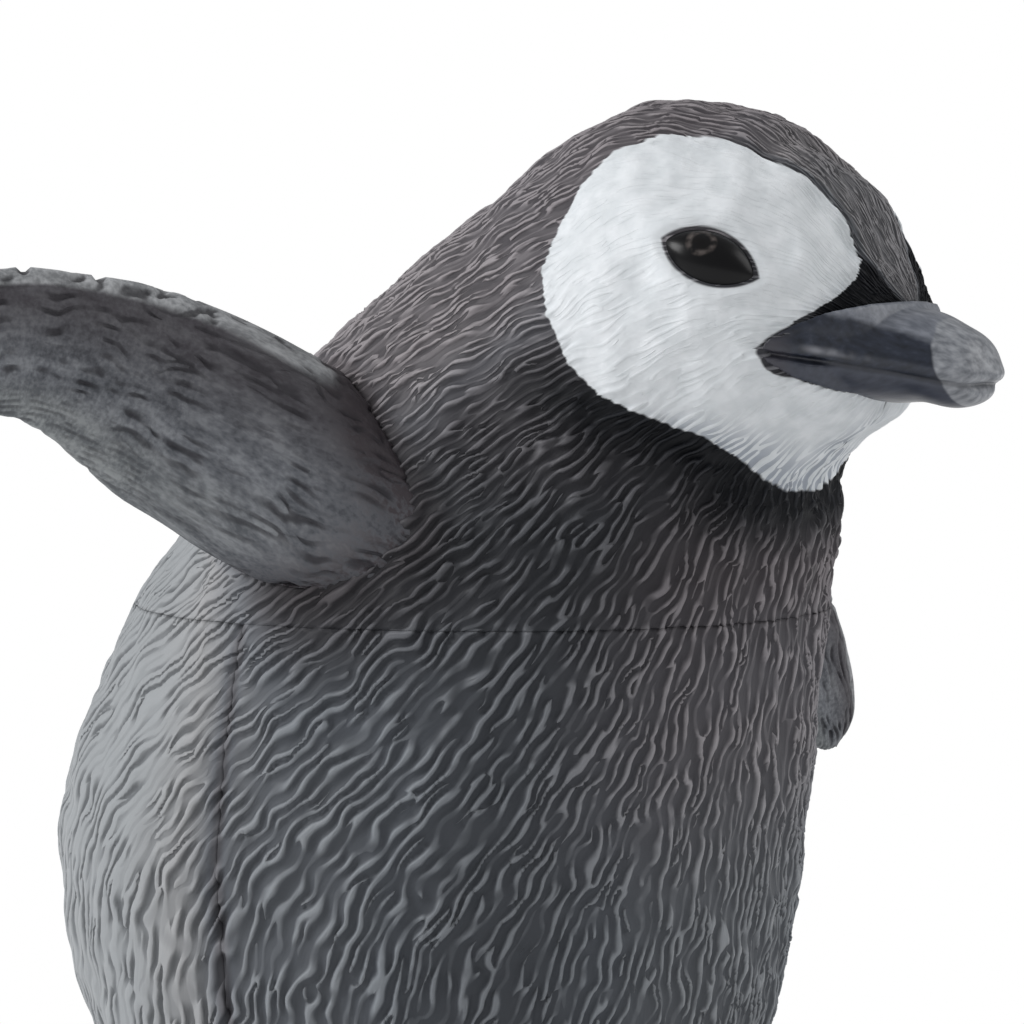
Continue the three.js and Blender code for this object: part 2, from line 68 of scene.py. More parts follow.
LAST = len(BODY_SECTIONS) - 1
MIDDLE_X = (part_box("right_eye")[0].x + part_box("left_eye")[1].x) / 2
MIDDLE_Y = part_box("beak")[0].y + BEAK_TIP_FORWARD * MM


def line(points, places):
    """Points on a smooth line through the given ones, at places counted in sections."""
    knots = np.array(points, float)
    knots = np.vstack([2 * knots[0] - knots[1], knots, 2 * knots[-1] - knots[-2]])
    start = np.clip(np.floor(places).astype(int), 0, len(points) - 2)
    share = (places - start)[:, None]
    a, b, c, d = (knots[start + k] for k in range(4))
    ab, bc, cd = (np.sqrt(np.linalg.norm(q - p, axis=1))[:, None] for p, q in ((a, b), (b, c), (c, d)))
    leave = ((b - a) / ab - (c - a) / (ab + bc) + (c - b) / bc) * bc
    arrive = ((c - b) / bc - (d - b) / (bc + cd) + (d - c) / cd) * bc
    square = 3 * (c - b) - 2 * leave - arrive
    cube = 2 * (b - c) + leave + arrive
    return b + leave * share + square * share**2 + cube * share**3


def girth(values, places):
    """A size that runs smoothly through the given values, at places counted in sections."""
    knots = np.array([values[0], *values, values[-1]], float)
    start = np.clip(np.floor(places).astype(int), 0, len(values) - 2)
    share = places - start
    a, b, c, d = (knots[start + k] for k in range(4))
    leave, arrive = (c - a) / 2, (d - b) / 2
    square = 3 * (c - b) - 2 * leave - arrive
    cube = 2 * (b - c) + leave + arrive
    return b + leave * share + square * share**2 + cube * share**3


def chords(places):
    back, front, half, taper = zip(*BODY_SECTIONS)
    return line(back, places), line(front, places), girth(half, places), girth(taper, places)


def skin(places, angles):
    """Points of the body's skin in millimetres: to the left, forwards and up."""
    back, front, half, taper = chords(places)
    level = (back + front) / 2 + (front - back) / 2 * np.cos(angles)[:, None]
    return np.column_stack([half * np.sin(angles) * (1 + taper * np.cos(angles)), level])


def unit(vectors):
    return vectors / np.linalg.norm(vectors, axis=-1, keepdims=True)


def skin_normal(places, angles):
    """Directions that point out of the body's skin."""
    step = 0.02
    inside = np.clip(places, 2 * step, LAST - 2 * step)
    up = skin(inside + step, angles) - skin(inside - step, angles)
    round_ = skin(inside, angles + step) - skin(inside, angles - step)
    return unit(np.cross(up, round_))


def placed(points):
    """Millimetres to the left, forwards and up, as a place in the frame."""
    side, forward, height = np.asarray(points, float).T
    return np.column_stack([MIDDLE_X + side * MM, MIDDLE_Y - forward * MM, height * MM])


def ease(low, high, value):
    share = np.clip((value - low) / (high - low), 0, 1)
    return share * share * (3 - 2 * share)


# How the down lies: strokes run from the beak back over the head and down the body, and slant
# backwards on the flanks. They are finer on the head. Widths and lengths in millimetres by section. A
# pair says where a change starts and where it is complete, in sections or in degrees from the front.
STROKE_WIDTHS = (1.25, 1.25, 1.25, 1.25, 1.2, 1.15, 1.15, 1.0, 0.75, 0.75, 0.75, 0.75)
STROKE_LENGTHS = (4.6, 4.6, 4.6, 4.6, 4.4, 4, 3.8, 3.4, 3.2, 3.2, 3.2, 3.2)
STROKES_A_CELL = 1.5
HEAD_START = 7.6
FLANK_TURN = 0.62
FLANK_LEAN = 0.4
FLANK_RUN = 28
FLANK_LEVEL = -5
FLANK_FRONT = (0, 70)
FLANK_REAR = (100, 180)
FLANK_REAR_LOSS = 0.5
LEAST_SPREAD = 0.6
FLANK_COARSE = 0.12
COARSE_DEGREES = (30, 70)
COARSE_END = (4.2, 6.2)
SIDE_SHIFT = 0.15
TABLE_STEP = 0.025
TABLE_TURN = math.radians(3)
rows = np.arange(0, LAST + TABLE_STEP / 2, TABLE_STEP)
turns = np.arange(0, math.pi + TABLE_TURN / 2, TABLE_TURN)
table = skin(np.repeat(rows, len(turns)), np.tile(turns, len(rows)))
steps = np.linalg.norm(np.diff(table.reshape(len(rows), len(turns), 3), axis=0), axis=2)
steps = np.vstack([np.zeros(len(turns)), steps])
chest_row = round(CHEST / TABLE_STEP)
run_table = np.cumsum(steps, axis=0)
run_table -= run_table[chest_row]
count_table = np.cumsum(steps / girth(STROKE_LENGTHS, rows)[:, None], axis=0)


def looked_up(values, places, angles):
    """A table's values at places and angles, the same on both sides of the body."""
    row = np.clip(places / TABLE_STEP, 0, len(rows) - 1.001)
    turn = np.clip(np.abs(angles) / TABLE_TURN, 0, len(turns) - 1.001)
    i, j = row.astype(int), turn.astype(int)
    down, along = row - i, turn - j
    upper = values[i, j] * (1 - along) + values[i, j + 1] * along
    lower = values[i + 1, j] * (1 - along) + values[i + 1, j + 1] * along
    return upper * (1 - down) + lower * down


def flank(degrees):
    """How much the strokes slant at degrees round from the front: most on the flanks."""
    return ease(*FLANK_FRONT, degrees) * (1 - FLANK_REAR_LOSS * ease(*FLANK_REAR, degrees))


def round_radius(places):
    """The radius of a circle about as long as the way round the body."""
    back, front, half, _ = chords(np.minimum(places, HEAD_START))
    return np.sqrt(half * np.linalg.norm(front - back, axis=1) / 2)


def strand_of(places, angles, side):
    """Where points lie among the strokes: two numbers for the way round and one for the way along."""
    radius = round_radius(places)
    degrees = np.degrees(np.abs(angles))
    swing = np.tanh((looked_up(run_table, places, angles) - FLANK_LEVEL) / FLANK_RUN)
    slope = radius * FLANK_TURN / FLANK_RUN * (1 - swing**2) * flank(degrees)
    swing = FLANK_TURN * (swing + FLANK_LEAN)
    spread = 1 + swing * (flank(degrees + 1) - flank(degrees - 1)) / math.radians(2)
    turned = np.abs(angles) + swing * flank(degrees)
    coarse = FLANK_COARSE * ease(*COARSE_DEGREES, degrees) * (1 - ease(*COARSE_END, places))
    width = girth(STROKE_WIDTHS, np.minimum(places, HEAD_START)) * (1 + coarse)
    reach = radius / (STROKES_A_CELL * width * np.maximum(np.hypot(spread, slope), LEAST_SPREAD))
    count = looked_up(count_table, places, angles) + SIDE_SHIFT * side
    return np.column_stack([reach * np.cos(turned), reach * np.sin(turned), count])


# The painted face, seen from the side: a closed outline as forward distances and heights. In front
# of the chin it runs past the body, so that the white goes right round under the beak.
FACE_OUTLINE = np.array((
    (24, 98), (24.4, 102), (25.7, 105.8), (28.4, 108.8), (32, 110.4), (42, 110.8),
    (60, 104), (60, 80), (46, 76.5), (41.2, 78), (40.5, 79.5),
    (40, 81), (38.5, 83), (34.5, 85), (30.5, 87), (27.5, 90), (25, 94.5),
))
# The dark stripe between the two sides of the face: half-widths at heights from the gape to the crown
STRIPE_HEIGHTS = (90.6, 91.2, 93.7, 95.9, 97.5, 99, 101.5, 104, 106, 108, 110.5)
STRIPE_HALF_WIDTHS = (0, 15.2, 12.6, 9, 6.3, 5, 4.5, 4.4, 5.1, 6.4, 8.6)
STRIPE_LEFT_EXTRA = 3.5
STRIPE_LEFT_HEIGHTS = (95, 97)


def inside_outline(outline, points):
    """The distance to an outline in millimetres, above zero inside it."""
    best = np.full(len(points), np.inf)
    crossings = np.zeros(len(points), int)
    for start, end in zip(outline, np.roll(outline, -1, axis=0)):
        edge = end - start
        share = np.clip((points - start) @ edge / (edge @ edge), 0, 1)
        best = np.minimum(best, np.linalg.norm(points - start - share[:, None] * edge, axis=1))
        spans = (start[1] > points[:, 1]) != (end[1] > points[:, 1])
        rise = np.where(spans, points[:, 1] - start[1], 0)
        crossings += spans & (points[:, 0] < start[0] + rise * edge[0] / (edge[1] or 1))
    return np.where(crossings % 2 == 1, best, -best)


# Eye sockets: an almond on each cheek, with a low lid round it. The eye's own section uses them too.
EYE_PLACE = np.array([8.25])
EYE_ANGLE = np.array([math.radians(89)])
EYE_HALF_LENGTH = 4.6
EYE_HALF_HEIGHT = 2.6
EYE_HALF_DEPTH = 2.0
EYE_SINK = 0.8
EYE_TILT = math.radians(11)
EYE_ARC = (EYE_HALF_LENGTH**2 + EYE_HALF_HEIGHT**2) / (2 * EYE_HALF_HEIGHT)
eye_out = skin_normal(EYE_PLACE, EYE_ANGLE)[0]
eye_middle = skin(EYE_PLACE, EYE_ANGLE)[0] - EYE_SINK * eye_out
eye_level = unit(np.array([0, 1, 0]) - eye_out * eye_out[1])
eye_long = math.cos(EYE_TILT) * eye_level + math.sin(EYE_TILT) * np.cross(eye_level, eye_out)
eye_high = np.cross(eye_out, eye_long)
LID_HEIGHT = 0.45
LID_WIDTH = 0.8
EYE_RIM = 0.1


def from_eye(points):
    """The distance from the edge of the nearer eye's almond, below zero inside it."""
    near = np.column_stack([np.abs(points[:, 0]), points[:, 1:]]) - eye_middle
    along, across = near @ eye_long, np.abs(near @ eye_high)
    return np.hypot(along, across + EYE_ARC - EYE_HALF_HEIGHT) - EYE_ARC


def attach(mesh, name, values):
    """Stores a value or a vector for each point of a mesh."""
    kind, key = ("FLOAT_VECTOR", "vector") if values.ndim == 2 else ("FLOAT", "value")
    mesh.attributes.new(name, kind, "POINT").data.foreach_set(key, values.astype(np.float32).ravel())


def seam_angle(places):
    """Where the upright seam down each side cuts the skin."""
    back, front, _, _ = chords(np.maximum(places, 0.01))
    return np.arccos(np.clip(-(front + back)[:, 0] / (front - back)[:, 0], -1, 1))


# Flipper roots: a leaning oval on each shoulder, as a section, degrees round and their half-sizes
FLIPPER_ROOT = (5.15, 108)
ROOT_SPREAD = (0.85, 27)
ROOT_LEAN = 17

# The beak laps over an oval of the face, and the skin is sunk there. Middle and gape as forward and height.
LAP_MIDDLE = (53, 90.9)
LAP_HALF_LENGTH = 8.2
LAP_HALF_HEIGHT = 4.3
LAP_POINT = 1.5
LAP_SINK = 1.2
LAP_EDGE = (0, 0.12)
LAP_MARGIN = 0.08
LAP_REACH = 6
GAPE_CORNER = (46.1, 90.3)
GAPE_RADIUS = 1.7

# Carving in millimetres: shallower on the head and the face, and none at the eyes and under the beak.
# The pairs are sections, or distances from the face's edge or the eye's.
STROKE_DEPTH = 0.5
HEAD_SHALLOWER = 0.2
NECK = (5.8, 7.6)
FACE_SHALLOWER = 0.85
FACE_EDGE = (-0.3, 2.5)
UNDER_BEAK = (10, 10.8)
BY_EYE = (0.2, 2.0)
TUFT_HEIGHT = 1.6
BROW_TUFTS = 0.6
BROW = (8.2, 8.8)
SEAM_DEPTH = 0.35
SEAM_WIDTH = 0.8
SEAM_END = (CHEST - 0.04, CHEST + 0.02)
SLITS_END = (4.6, 6)
SLITS_LOSS = 0.8

# Brushed grey by region, from 0 on dark down to 1: the belly, what its middle, its sides and the back
# have more, then the values that come in over a pair of sections, on the back, in front or all round.
BELLY_TONE = 0.2
MIDDLE_LIGHTER = 0.14
MIDDLE_END = (10, 45)
SIDES_LIGHTER = 0.1
SIDES = (50, 75)
BACK_LIGHTER = 0.68
REAR = (80, 112)
NAPE_TONE, NAPE = 0.45, (4.6, 5.6)
BREAST_TONE, BREAST = 0.08, (3.2, 4.6)
HEAD_TONE, HEAD = 0.18, (6.6, 7.8)
CROWN_TONE, CROWN = 0.9, (8.4, 9.2)

# Brown wash: on the neck, more behind than in front, less on the crown, and down the middle of the belly
BROWN_NECK = (4.8, 6.2)
BROWN_FRONT = 0.3
BROWN_CROWN_LOSS = 0.4
BROWN_MIDDLE = 0.8
BROWN_MIDDLE_END = (20, 50)
BROWN_MIDDLE_RUN = (-30, -8)
# Brown also tints the painted shade and the seam's stain
BROWN_IN_SHADE_AND_SEAM = 0.3

# Painted shade under the flippers and round their roots, a dark stain along the seam, black on the lores
# beside the beak, and painted shade along the face's edge on the brow and in a collar under the chin
ARMPIT_SHADE = (4.3, 90)
ARMPIT_SHADE_SPREAD = (0.45, 20)
ROOT_SHADE = 0.8
ROOT_SHADE_WIDTH = 0.2
SEAM_STAIN = 0.75
SEAM_STAIN_WIDTH = 1.3
LORES_TOP = 95.2
LORES_RISE = 1.3
LORES_GAP = 1.0
LORES_FADE = (-1, 1.5)
LORES_FORWARD = (45.5, 48.5)
EDGE_SHADE = 0.85
EDGE_SHADE_REACH = (-1.8, -0.3)
COLLAR_SHADE = 0.95
COLLAR_REACH = (-8, -1.5)
COLLAR_END = (86, 92)
THROAT_END = (82, 87)
THROAT_REACH = (0.5, 5)


def bell(value, middle, width):
    """One at a middle value, fading away on both sides of it."""
    return np.exp(-(((value - middle) / width) ** 2))


def mark_down(mesh, places, angles):
    """Stores how the down lies, how deep it is cut and how it is painted, painted shade included, at each
    point.
    """
    point = skin(places, angles)
    side, forward, height = point.T
    degrees = np.degrees(np.abs(angles))
    run = looked_up(run_table, places, angles)
    rear = ease(*REAR, degrees)
    brow = ease(*BROW, places)

    stripe = np.interp(height, STRIPE_HEIGHTS, STRIPE_HALF_WIDTHS)
    stripe += STRIPE_LEFT_EXTRA * (side > 0) * ease(*STRIPE_LEFT_HEIGHTS, height)
    mask = np.minimum(inside_outline(FACE_OUTLINE, point[:, 1:]), np.abs(side) - stripe)
    lid = from_eye(point)
    along_lap = np.abs(forward - LAP_MIDDLE[0]) / LAP_HALF_LENGTH
    up_lap = np.abs(height - LAP_MIDDLE[1]) / LAP_HALF_HEIGHT
    lap = 1 - (along_lap**LAP_POINT + up_lap**LAP_POINT) ** (1 / LAP_POINT)
    corner = np.hypot(forward - GAPE_CORNER[0], height - GAPE_CORNER[1]) - GAPE_RADIUS
    bare = np.minimum(-LAP_REACH * (lap + LAP_MARGIN), corner)
    white = np.minimum(mask, bare)

    from_seam = round_radius(places) * (np.abs(angles) - seam_angle(np.minimum(places, HEAD_START)))
    seam = bell(from_seam, 0, SEAM_WIDTH) * (1 - ease(*SEAM_END, places))
    calm = (1 - ease(*UNDER_BEAK, places)) * ease(*BY_EYE, lid)
    depth = (STROKE_DEPTH - HEAD_SHALLOWER * ease(*NECK, places)) * calm
    depth *= 1 - FACE_SHALLOWER * ease(*FACE_EDGE, white)
    lift = LID_HEIGHT * bell(lid, LID_WIDTH, LID_WIDTH)
    lift -= SEAM_DEPTH * seam + LAP_SINK * ease(*LAP_EDGE, lap)

    # Painted shade under each flipper and round its root, joined with the dark stain along the seam
    armpit_shade = bell(places, ARMPIT_SHADE[0], ARMPIT_SHADE_SPREAD[0]) * bell(degrees, ARMPIT_SHADE[1], ARMPIT_SHADE_SPREAD[1])
    up_root = (places - FLIPPER_ROOT[0]) / ROOT_SPREAD[0]
    from_root = np.hypot(up_root, (degrees - FLIPPER_ROOT[1] - ROOT_LEAN * up_root) / ROOT_SPREAD[1])
    shade_and_seam_stain = np.maximum(armpit_shade, ROOT_SHADE * bell(from_root, 1, ROOT_SHADE_WIDTH))
    shade_and_seam_stain = np.maximum(shade_and_seam_stain, SEAM_STAIN * bell(from_seam, 0, SEAM_STAIN_WIDTH) * (places < CHEST))
    # Black lores beside the beak, and on the brow painted shade along the face's edge
    lores_top = LORES_TOP + LORES_RISE * np.maximum(np.abs(side) - LORES_GAP, 0)
    lores_and_edge_shade = ease(*LORES_FORWARD, forward) * (1 - ease(*LORES_FADE, height - lores_top))
    lores_and_edge_shade = np.maximum(lores_and_edge_shade, EDGE_SHADE * ease(*EDGE_SHADE_REACH, white) * brow)
    # Painted shade in a collar under the chin
    collar_shade = ease(*COLLAR_REACH, mask) * (1 - ease(*COLLAR_END, height)) * (1 - rear)

    tone = BELLY_TONE + BACK_LIGHTER * rear + MIDDLE_LIGHTER * (1 - ease(*MIDDLE_END, degrees))
    tone += SIDES_LIGHTER * ease(*SIDES, degrees) * (1 - rear)
    tone += (NAPE_TONE - tone) * ease(*NAPE, places) * rear
    tone += (BREAST_TONE - tone) * ease(*BREAST, places) * (1 - rear)
    tone += (HEAD_TONE - tone) * ease(*HEAD, places)
    tone += (CROWN_TONE - tone) * ease(*CROWN, places)
    # Painted shade, the seam's stain and the black lores darken the brushed grey
    tone *= (1 - shade_and_seam_stain) * (1 - lores_and_edge_shade) * (1 - COLLAR_SHADE * collar_shade)
    brown = ease(*BROWN_NECK, places) * (BROWN_FRONT + (1 - BROWN_FRONT) * rear)
    brown *= 1 - BROWN_CROWN_LOSS * ease(*CROWN, places)
    brown_middle = (1 - ease(*BROWN_MIDDLE_END, degrees)) * ease(*BROWN_MIDDLE_RUN, run)
    brown = np.maximum(np.maximum(brown, BROWN_MIDDLE * brown_middle), BROWN_IN_SHADE_AND_SEAM * shade_and_seam_stain)
    throat = (1 - ease(*THROAT_END, height)) * (1 - ease(*THROAT_REACH, white))

    attach(mesh, "strand", strand_of(places, angles, side))
    attach(mesh, "spot", point)
    attach(mesh, "slits", rear * (1 - SLITS_LOSS * ease(*SLITS_END, places)))
    attach(mesh, "depth", depth * MM)
    attach(mesh, "tuft", (TUFT_HEIGHT + BROW_TUFTS * brow) * calm * MM)
    attach(mesh, "lift", lift * MM)
    attach(mesh, "white", mask)
    attach(mesh, "bare", np.minimum(bare, lid - EYE_RIM))
    attach(mesh, "tone", tone)
    attach(mesh, "brown", brown * (1 - lores_and_edge_shade) * (1 - collar_shade))
    attach(mesh, "throat", throat)


class Wire:
    """A node tree's socket that can be used in sums."""

    def __init__(self, tree, socket=None):
        self.tree = tree
        self.socket = socket

    def node(self, kind, inputs=None, out=0, stops=None, **settings):
        """Any new node, linked or set as its inputs say, and one of its outputs."""
        made = self.tree.nodes.new(kind)
        for name, value in settings.items():
            setattr(made, name, value)
        for k, (place, colour) in enumerate(stops or ()):
            ramp = made.color_ramp.elements
            stop = ramp[k] if k < len(ramp) else ramp.new(place)
            stop.position = place
            stop.color = (*colour, 1)
        for name, value in (inputs or {}).items():
            if isinstance(value, Wire):
                self.tree.links.new(value.socket, made.inputs[name])
            else:
                made.inputs[name].default_value = value
        if isinstance(out, str):
            return Wire(self.tree, next(s for s in made.outputs if s.name == out and s.enabled))
        return Wire(self.tree, made.outputs[out] if len(made.outputs) else None)

    def math(self, operation, *others):
        """A sum of this number and others."""
        return self.node("ShaderNodeMath", dict(enumerate((self, *others))), operation=operation)

    def vector(self, operation, *others, out=0):
        """A sum of this vector and others."""
        values = dict(enumerate((self, *others)))
        return self.node("ShaderNodeVectorMath", values, out=out, operation=operation)

    def scaled(self, x, y, z):
        """This vector with each of its numbers multiplied."""
        return self.vector("MULTIPLY", (x, y, z))

    def parts(self):
        """A vector's three numbers."""
        split = self.node("ShaderNodeSeparateXYZ", {0: self}).socket.node
        return tuple(Wire(self.tree, socket) for socket in split.outputs)

    def mix(self, other, share):
        """From this colour to another one."""
        return self.node("ShaderNodeMix", {0: share, 6: self, 7: other}, out=2, data_type="RGBA")

    def ease(self, low, high, start=0.0, end=1.0):
        sizes = {"Value": self, "From Min": low, "From Max": high, "To Min": start, "To Max": end}
        return self.node("ShaderNodeMapRange", sizes, interpolation_type="SMOOTHSTEP")

    def noise(self, scale, detail=2.0, out=0):
        return self.node("ShaderNodeTexNoise", {"Vector": self, "Scale": scale, "Detail": detail}, out=out)

    def comb(self, across):
        """Ridges side by side, from -1 to 1, with the direction across them."""
        sizes = {0: self, 1: 1.0, 2: STROKES_A_CELL, 3: 1.0, 5: across}
        turn = self.node("ShaderNodeTexGabor", sizes, out="Phase", gabor_type="3D") * (2 * math.pi)
        return turn.math("COSINE")

    def cells(self, scale=1.0):
        """The distance from the edges of a net of cells."""
        sizes = {"Vector": self, "Scale": scale}
        return self.node("ShaderNodeTexVoronoi", sizes, out="Distance", feature="DISTANCE_TO_EDGE")

    def mark(self, name, out="Fac"):
        """What a mesh stores under a name."""
        return self.node("ShaderNodeAttribute", out=out, attribute_name=name)

    def ramp(self, *stops):
        return self.node("ShaderNodeValToRGB", {"Fac": self}, stops=stops)

    def bump(self, strength, depth):
        """A surface's tilt where this is its height."""
        return self.node("ShaderNodeBump", {"Strength": strength, "Distance": depth, "Height": self})

    def __add__(self, other):
        return self.math("ADD", other)

    __radd__ = __add__

    def __mul__(self, other):
        return self.math("MULTIPLY", other)

    __rmul__ = __mul__

    def __sub__(self, other):
        return self.math("SUBTRACT", other)

    def __rsub__(self, other):
        return self.node("ShaderNodeMath", {0: other, 1: self}, operation="SUBTRACT")

    def __truediv__(self, other):
        return self.math("DIVIDE", other)


# A stroke's form: how it wavers, where it fades out, and how wide its ridge is as carved and as brushed
WAVER = (1.5, 1.5, 0.6)
WAVER_SCALE = 0.22
FADE_SCALE = (0.7, 0.7, 1.2)
FADE = (0.35, 0.58)
FAINTEST = 0.15
ROUNDED = 0.7
CRISP = 0.1
PLATEAU = 0.8
SLIT_EDGE = 0.75
GROUND = 0.4
TUFT_SCALE = 0.17


def strokes(strand, spot, slits, soft):
    """The down's relief, from 0 to 1: combed wavy ridges on low ground, or slits in a plateau."""
    x, y, _ = strand.parts()
    across = strand.node("ShaderNodeCombineXYZ", {0: y, 1: 0 - x, 2: 0.0})
    waver = spot.noise(WAVER_SCALE, 1.0, out="Color")
    comb = strand.vector("ADD", waver.scaled(*WAVER)).comb(across)
    fade = strand.scaled(*FADE_SCALE).noise(1.0, 1.0).ease(*FADE, FAINTEST, 1.0)
    ridge = comb.ease(0 - slits - soft, 1 - SLIT_EDGE * slits)
    return ridge * fade + slits * (PLATEAU - PLATEAU * fade)


def carve(piece, name, height_of):
    """Moves a piece's skin along its normals by a height in metres, which the marks on it give."""
    if name not in bpy.data.node_groups:
        tree = bpy.data.node_groups.new(name, "GeometryNodeTree")
        tree.interface.new_socket("Geometry", in_out="INPUT", socket_type="NodeSocketGeometry")
        tree.interface.new_socket("Geometry", in_out="OUTPUT", socket_type="NodeSocketGeometry")
        sheet = Wire(tree)

        def mark(attribute, kind="FLOAT"):
            return sheet.node(
                "GeometryNodeInputNamedAttribute", {"Name": attribute}, out="Attribute", data_type=kind)

        normal = sheet.node("GeometryNodeInputNormal")
        push = sheet.node("ShaderNodeVectorMath", {0: normal, "Scale": height_of(mark)}, operation="SCALE")
        whole = sheet.node("NodeGroupInput")
        moved = sheet.node("GeometryNodeSetPosition", {"Geometry": whole, "Offset": push})
        sheet.node("NodeGroupOutput", {0: moved})
    cut = piece.modifiers.new(name, "NODES")
    cut.node_group = bpy.data.node_groups[name]
    bpy.context.view_layer.objects.active = piece
    bpy.ops.object.modifier_apply(modifier=cut.name)


def down_height(mark):
    """The height of the carved down: strokes, low tufts, and what is sunk or raised on purpose."""
    spot = mark("spot", "FLOAT_VECTOR")
    relief = strokes(mark("strand", "FLOAT_VECTOR"), spot, mark("slits"), ROUNDED)
    tuft = spot.noise(TUFT_SCALE, 1.0)
    return mark("depth") * (relief - GROUND) + mark("tuft") * (tuft - 0.5) + mark("lift")


def paint(red, green, blue):
    """A colour as it shows, from 0 to 255, as a shader takes it."""
    parts = (v / 255 for v in (red, green, blue))
    return tuple(v / 12.92 if v <= 0.04045 else ((v + 0.055) / 1.055) ** 2.4 for v in parts)


def finish_of(name):
    """A new material, with a wire to build on and its surface's shader."""
    material = bpy.data.materials.new(name)
    material.use_nodes = True
    return material, Wire(material.node_tree), material.node_tree.nodes["Principled BSDF"]


def feed(wire, shader, **inputs):
    """Links or sets a shader's inputs; an underscore stands for a space."""
    for name, value in inputs.items():
        socket = shader.inputs[name.replace("_", " ")]
        if isinstance(value, Wire):
            wire.tree.links.new(value.socket, socket)
        else:
            socket.default_value = value


# Down finish: matte paint on soft vinyl. A dark wash lies in the strokes, a paler grey is dry-brushed
# over their ridges, more on the back than on the breast, and the face is painted white.
down, wire, shader = finish_of("painted_down")
strand, spot = wire.mark("strand", "Vector"), wire.mark("spot", "Vector")
tone, brown, white = wire.mark("tone"), wire.mark("brown"), wire.mark("white")
relief = strokes(strand, spot, wire.mark("slits"), CRISP)
fine = strand.scaled(5.0, 5.0, 0.8).noise(1.0, 2.0)
gaps = relief.ease(0.02, 0.25, 0.85, 0.0)
brush = (relief + 0.15).math("MINIMUM", 1.0)
wash = tone.ramp(
    (0.0, paint(10, 12, 17)), (0.1, paint(26, 28, 33)), (0.25, paint(62, 66, 73)), (0.6, paint(88, 90, 93)),
    (1.0, paint(94, 98, 102)))
brushed = tone.ramp(
    (0.0, paint(32, 34, 39)), (0.1, paint(102, 104, 109)), (0.25, paint(136, 141, 147)),
    (0.6, paint(168, 169, 171)), (1.0, paint(158, 163, 167)))
umber = brush.ramp((0.0, paint(44, 38, 43)), (1.0, paint(160, 151, 154)))
grey = wash.mix(brushed, brush).mix(umber, brown * 0.7)
dents = spot.noise(0.5, 2.0)
chalk = dents.ramp((0.35, paint(226, 231, 235)), (0.65, paint(241, 245, 249)))
chalk = chalk.mix((*paint(162, 169, 181), 1), wire.mark("throat") * gaps)
ragged = white + 0.5 * (strand.noise(1.6, 1.0) - 0.5)
edge = ragged.math("MINIMUM", wire.mark("bare")).ease(-0.12, 0.12)
grain = (relief * 0.75 + fine * 0.25) * (1 - 0.8 * edge) + dents * edge * 0.8
feed(
    wire, shader, Base_Color=grey.mix(chalk, edge), Roughness=0.6 - 0.12 * brush, Specular_IOR_Level=0.2,
    Normal=grain.bump(0.8, 0.3 * MM))


# Sheets: how many steps even spacing is measured in, and how close points merge in millimetres
EVEN_STEPS = 600
SHEET_MERGE = 0.004
CAD_MERGE = 0.001


def sheet_of(name, columns, rows_):
    """A flat sheet to wrap into a piece, with each point's share along its two sides."""
    bpy.ops.object.select_all(action="DESELECT")
    bpy.ops.mesh.primitive_grid_add(x_subdivisions=columns, y_subdivisions=rows_, size=1)
    piece = bpy.context.object
    piece.name = piece.data.name = name
    shares = np.empty(len(piece.data.vertices) * 3)
    piece.data.vertices.foreach_get("co", shares)
    shares = shares.reshape(-1, 3)[:, :2] + 0.5
    return piece, shares[:, 0], shares[:, 1]


def even_places(low, high, angle, shares):
    """Sections between two, spaced evenly along the skin at an angle."""
    fine_places = np.linspace(low, high, EVEN_STEPS)
    points = skin(fine_places, np.full(len(fine_places), angle))
    run = np.concatenate([[0], np.cumsum(np.linalg.norm(np.diff(points, axis=0), axis=1))])
    return np.interp(shares * run[-1], run, fine_places)


def merge_points(piece, apart):
    """Merges a piece's points that lie closer than a distance in millimetres."""
    bpy.ops.object.select_all(action="DESELECT")
    piece.select_set(True)
    bpy.context.view_layer.objects.active = piece
    bpy.ops.object.mode_set(mode="EDIT")
    bpy.ops.mesh.select_all(action="SELECT")
    bpy.ops.mesh.remove_doubles(threshold=apart * MM)
    bpy.ops.mesh.normals_make_consistent(inside=False)
    bpy.ops.object.mode_set(mode="OBJECT")


def wrap(piece, points):
    """Puts a sheet's points at places in millimetres and merges those that meet."""
    piece.data.vertices.foreach_set("co", placed(points).ravel())
    merge_points(piece, SHEET_MERGE)


def close_rims(piece):
    """Closes a piece's open rims with faces."""
    shell = bmesh.new()
    shell.from_mesh(piece.data)
    bmesh.ops.holes_fill(shell, edges=[e for e in shell.edges if e.is_boundary], sides=0)
    bmesh.ops.recalc_face_normals(shell, faces=shell.faces)
    shell.to_mesh(piece.data)
    shell.free()


def settle(piece, node, finish):
    """Paints a finished piece, with flat caps on its closed rims, and puts it in its node's place."""
    piece.data.materials.clear()
    piece.data.materials.append(finish)
    sides = np.empty(len(piece.data.polygons), np.int32)
    piece.data.polygons.foreach_get("loop_total", sides)
    piece.data.polygons.foreach_set("use_smooth", sides < 5)
    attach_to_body(piece, "root")
    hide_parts(node)


# Head and shoulders: the hollow upper moulding, cast in soft vinyl and glued down on a collar at the
# chest. Its strokes are carved, and its white face is painted on after the dark coats.
HAIRLINE = 0.001
HEAD_GRID = (520, 188)
piece, across, up = sheet_of("head_and_shoulders_skin", *HEAD_GRID)
places = even_places(CHEST + HAIRLINE, LAST, math.radians(120), up)
angles = (across * 2 - 1) * math.pi
mark_down(piece.data, places, angles)
wrap(piece, skin(places, angles))
carve(piece, "carved_down", down_height)
close_rims(piece)
settle(piece, "head_and_shoulders", down)

# Belly: the front half of the lower body, a hollow casting that meets the back on an upright seam down
# each side. The strokes run on across the seam, because it is cut after carving.
LOWER_GRID = (420, 215)


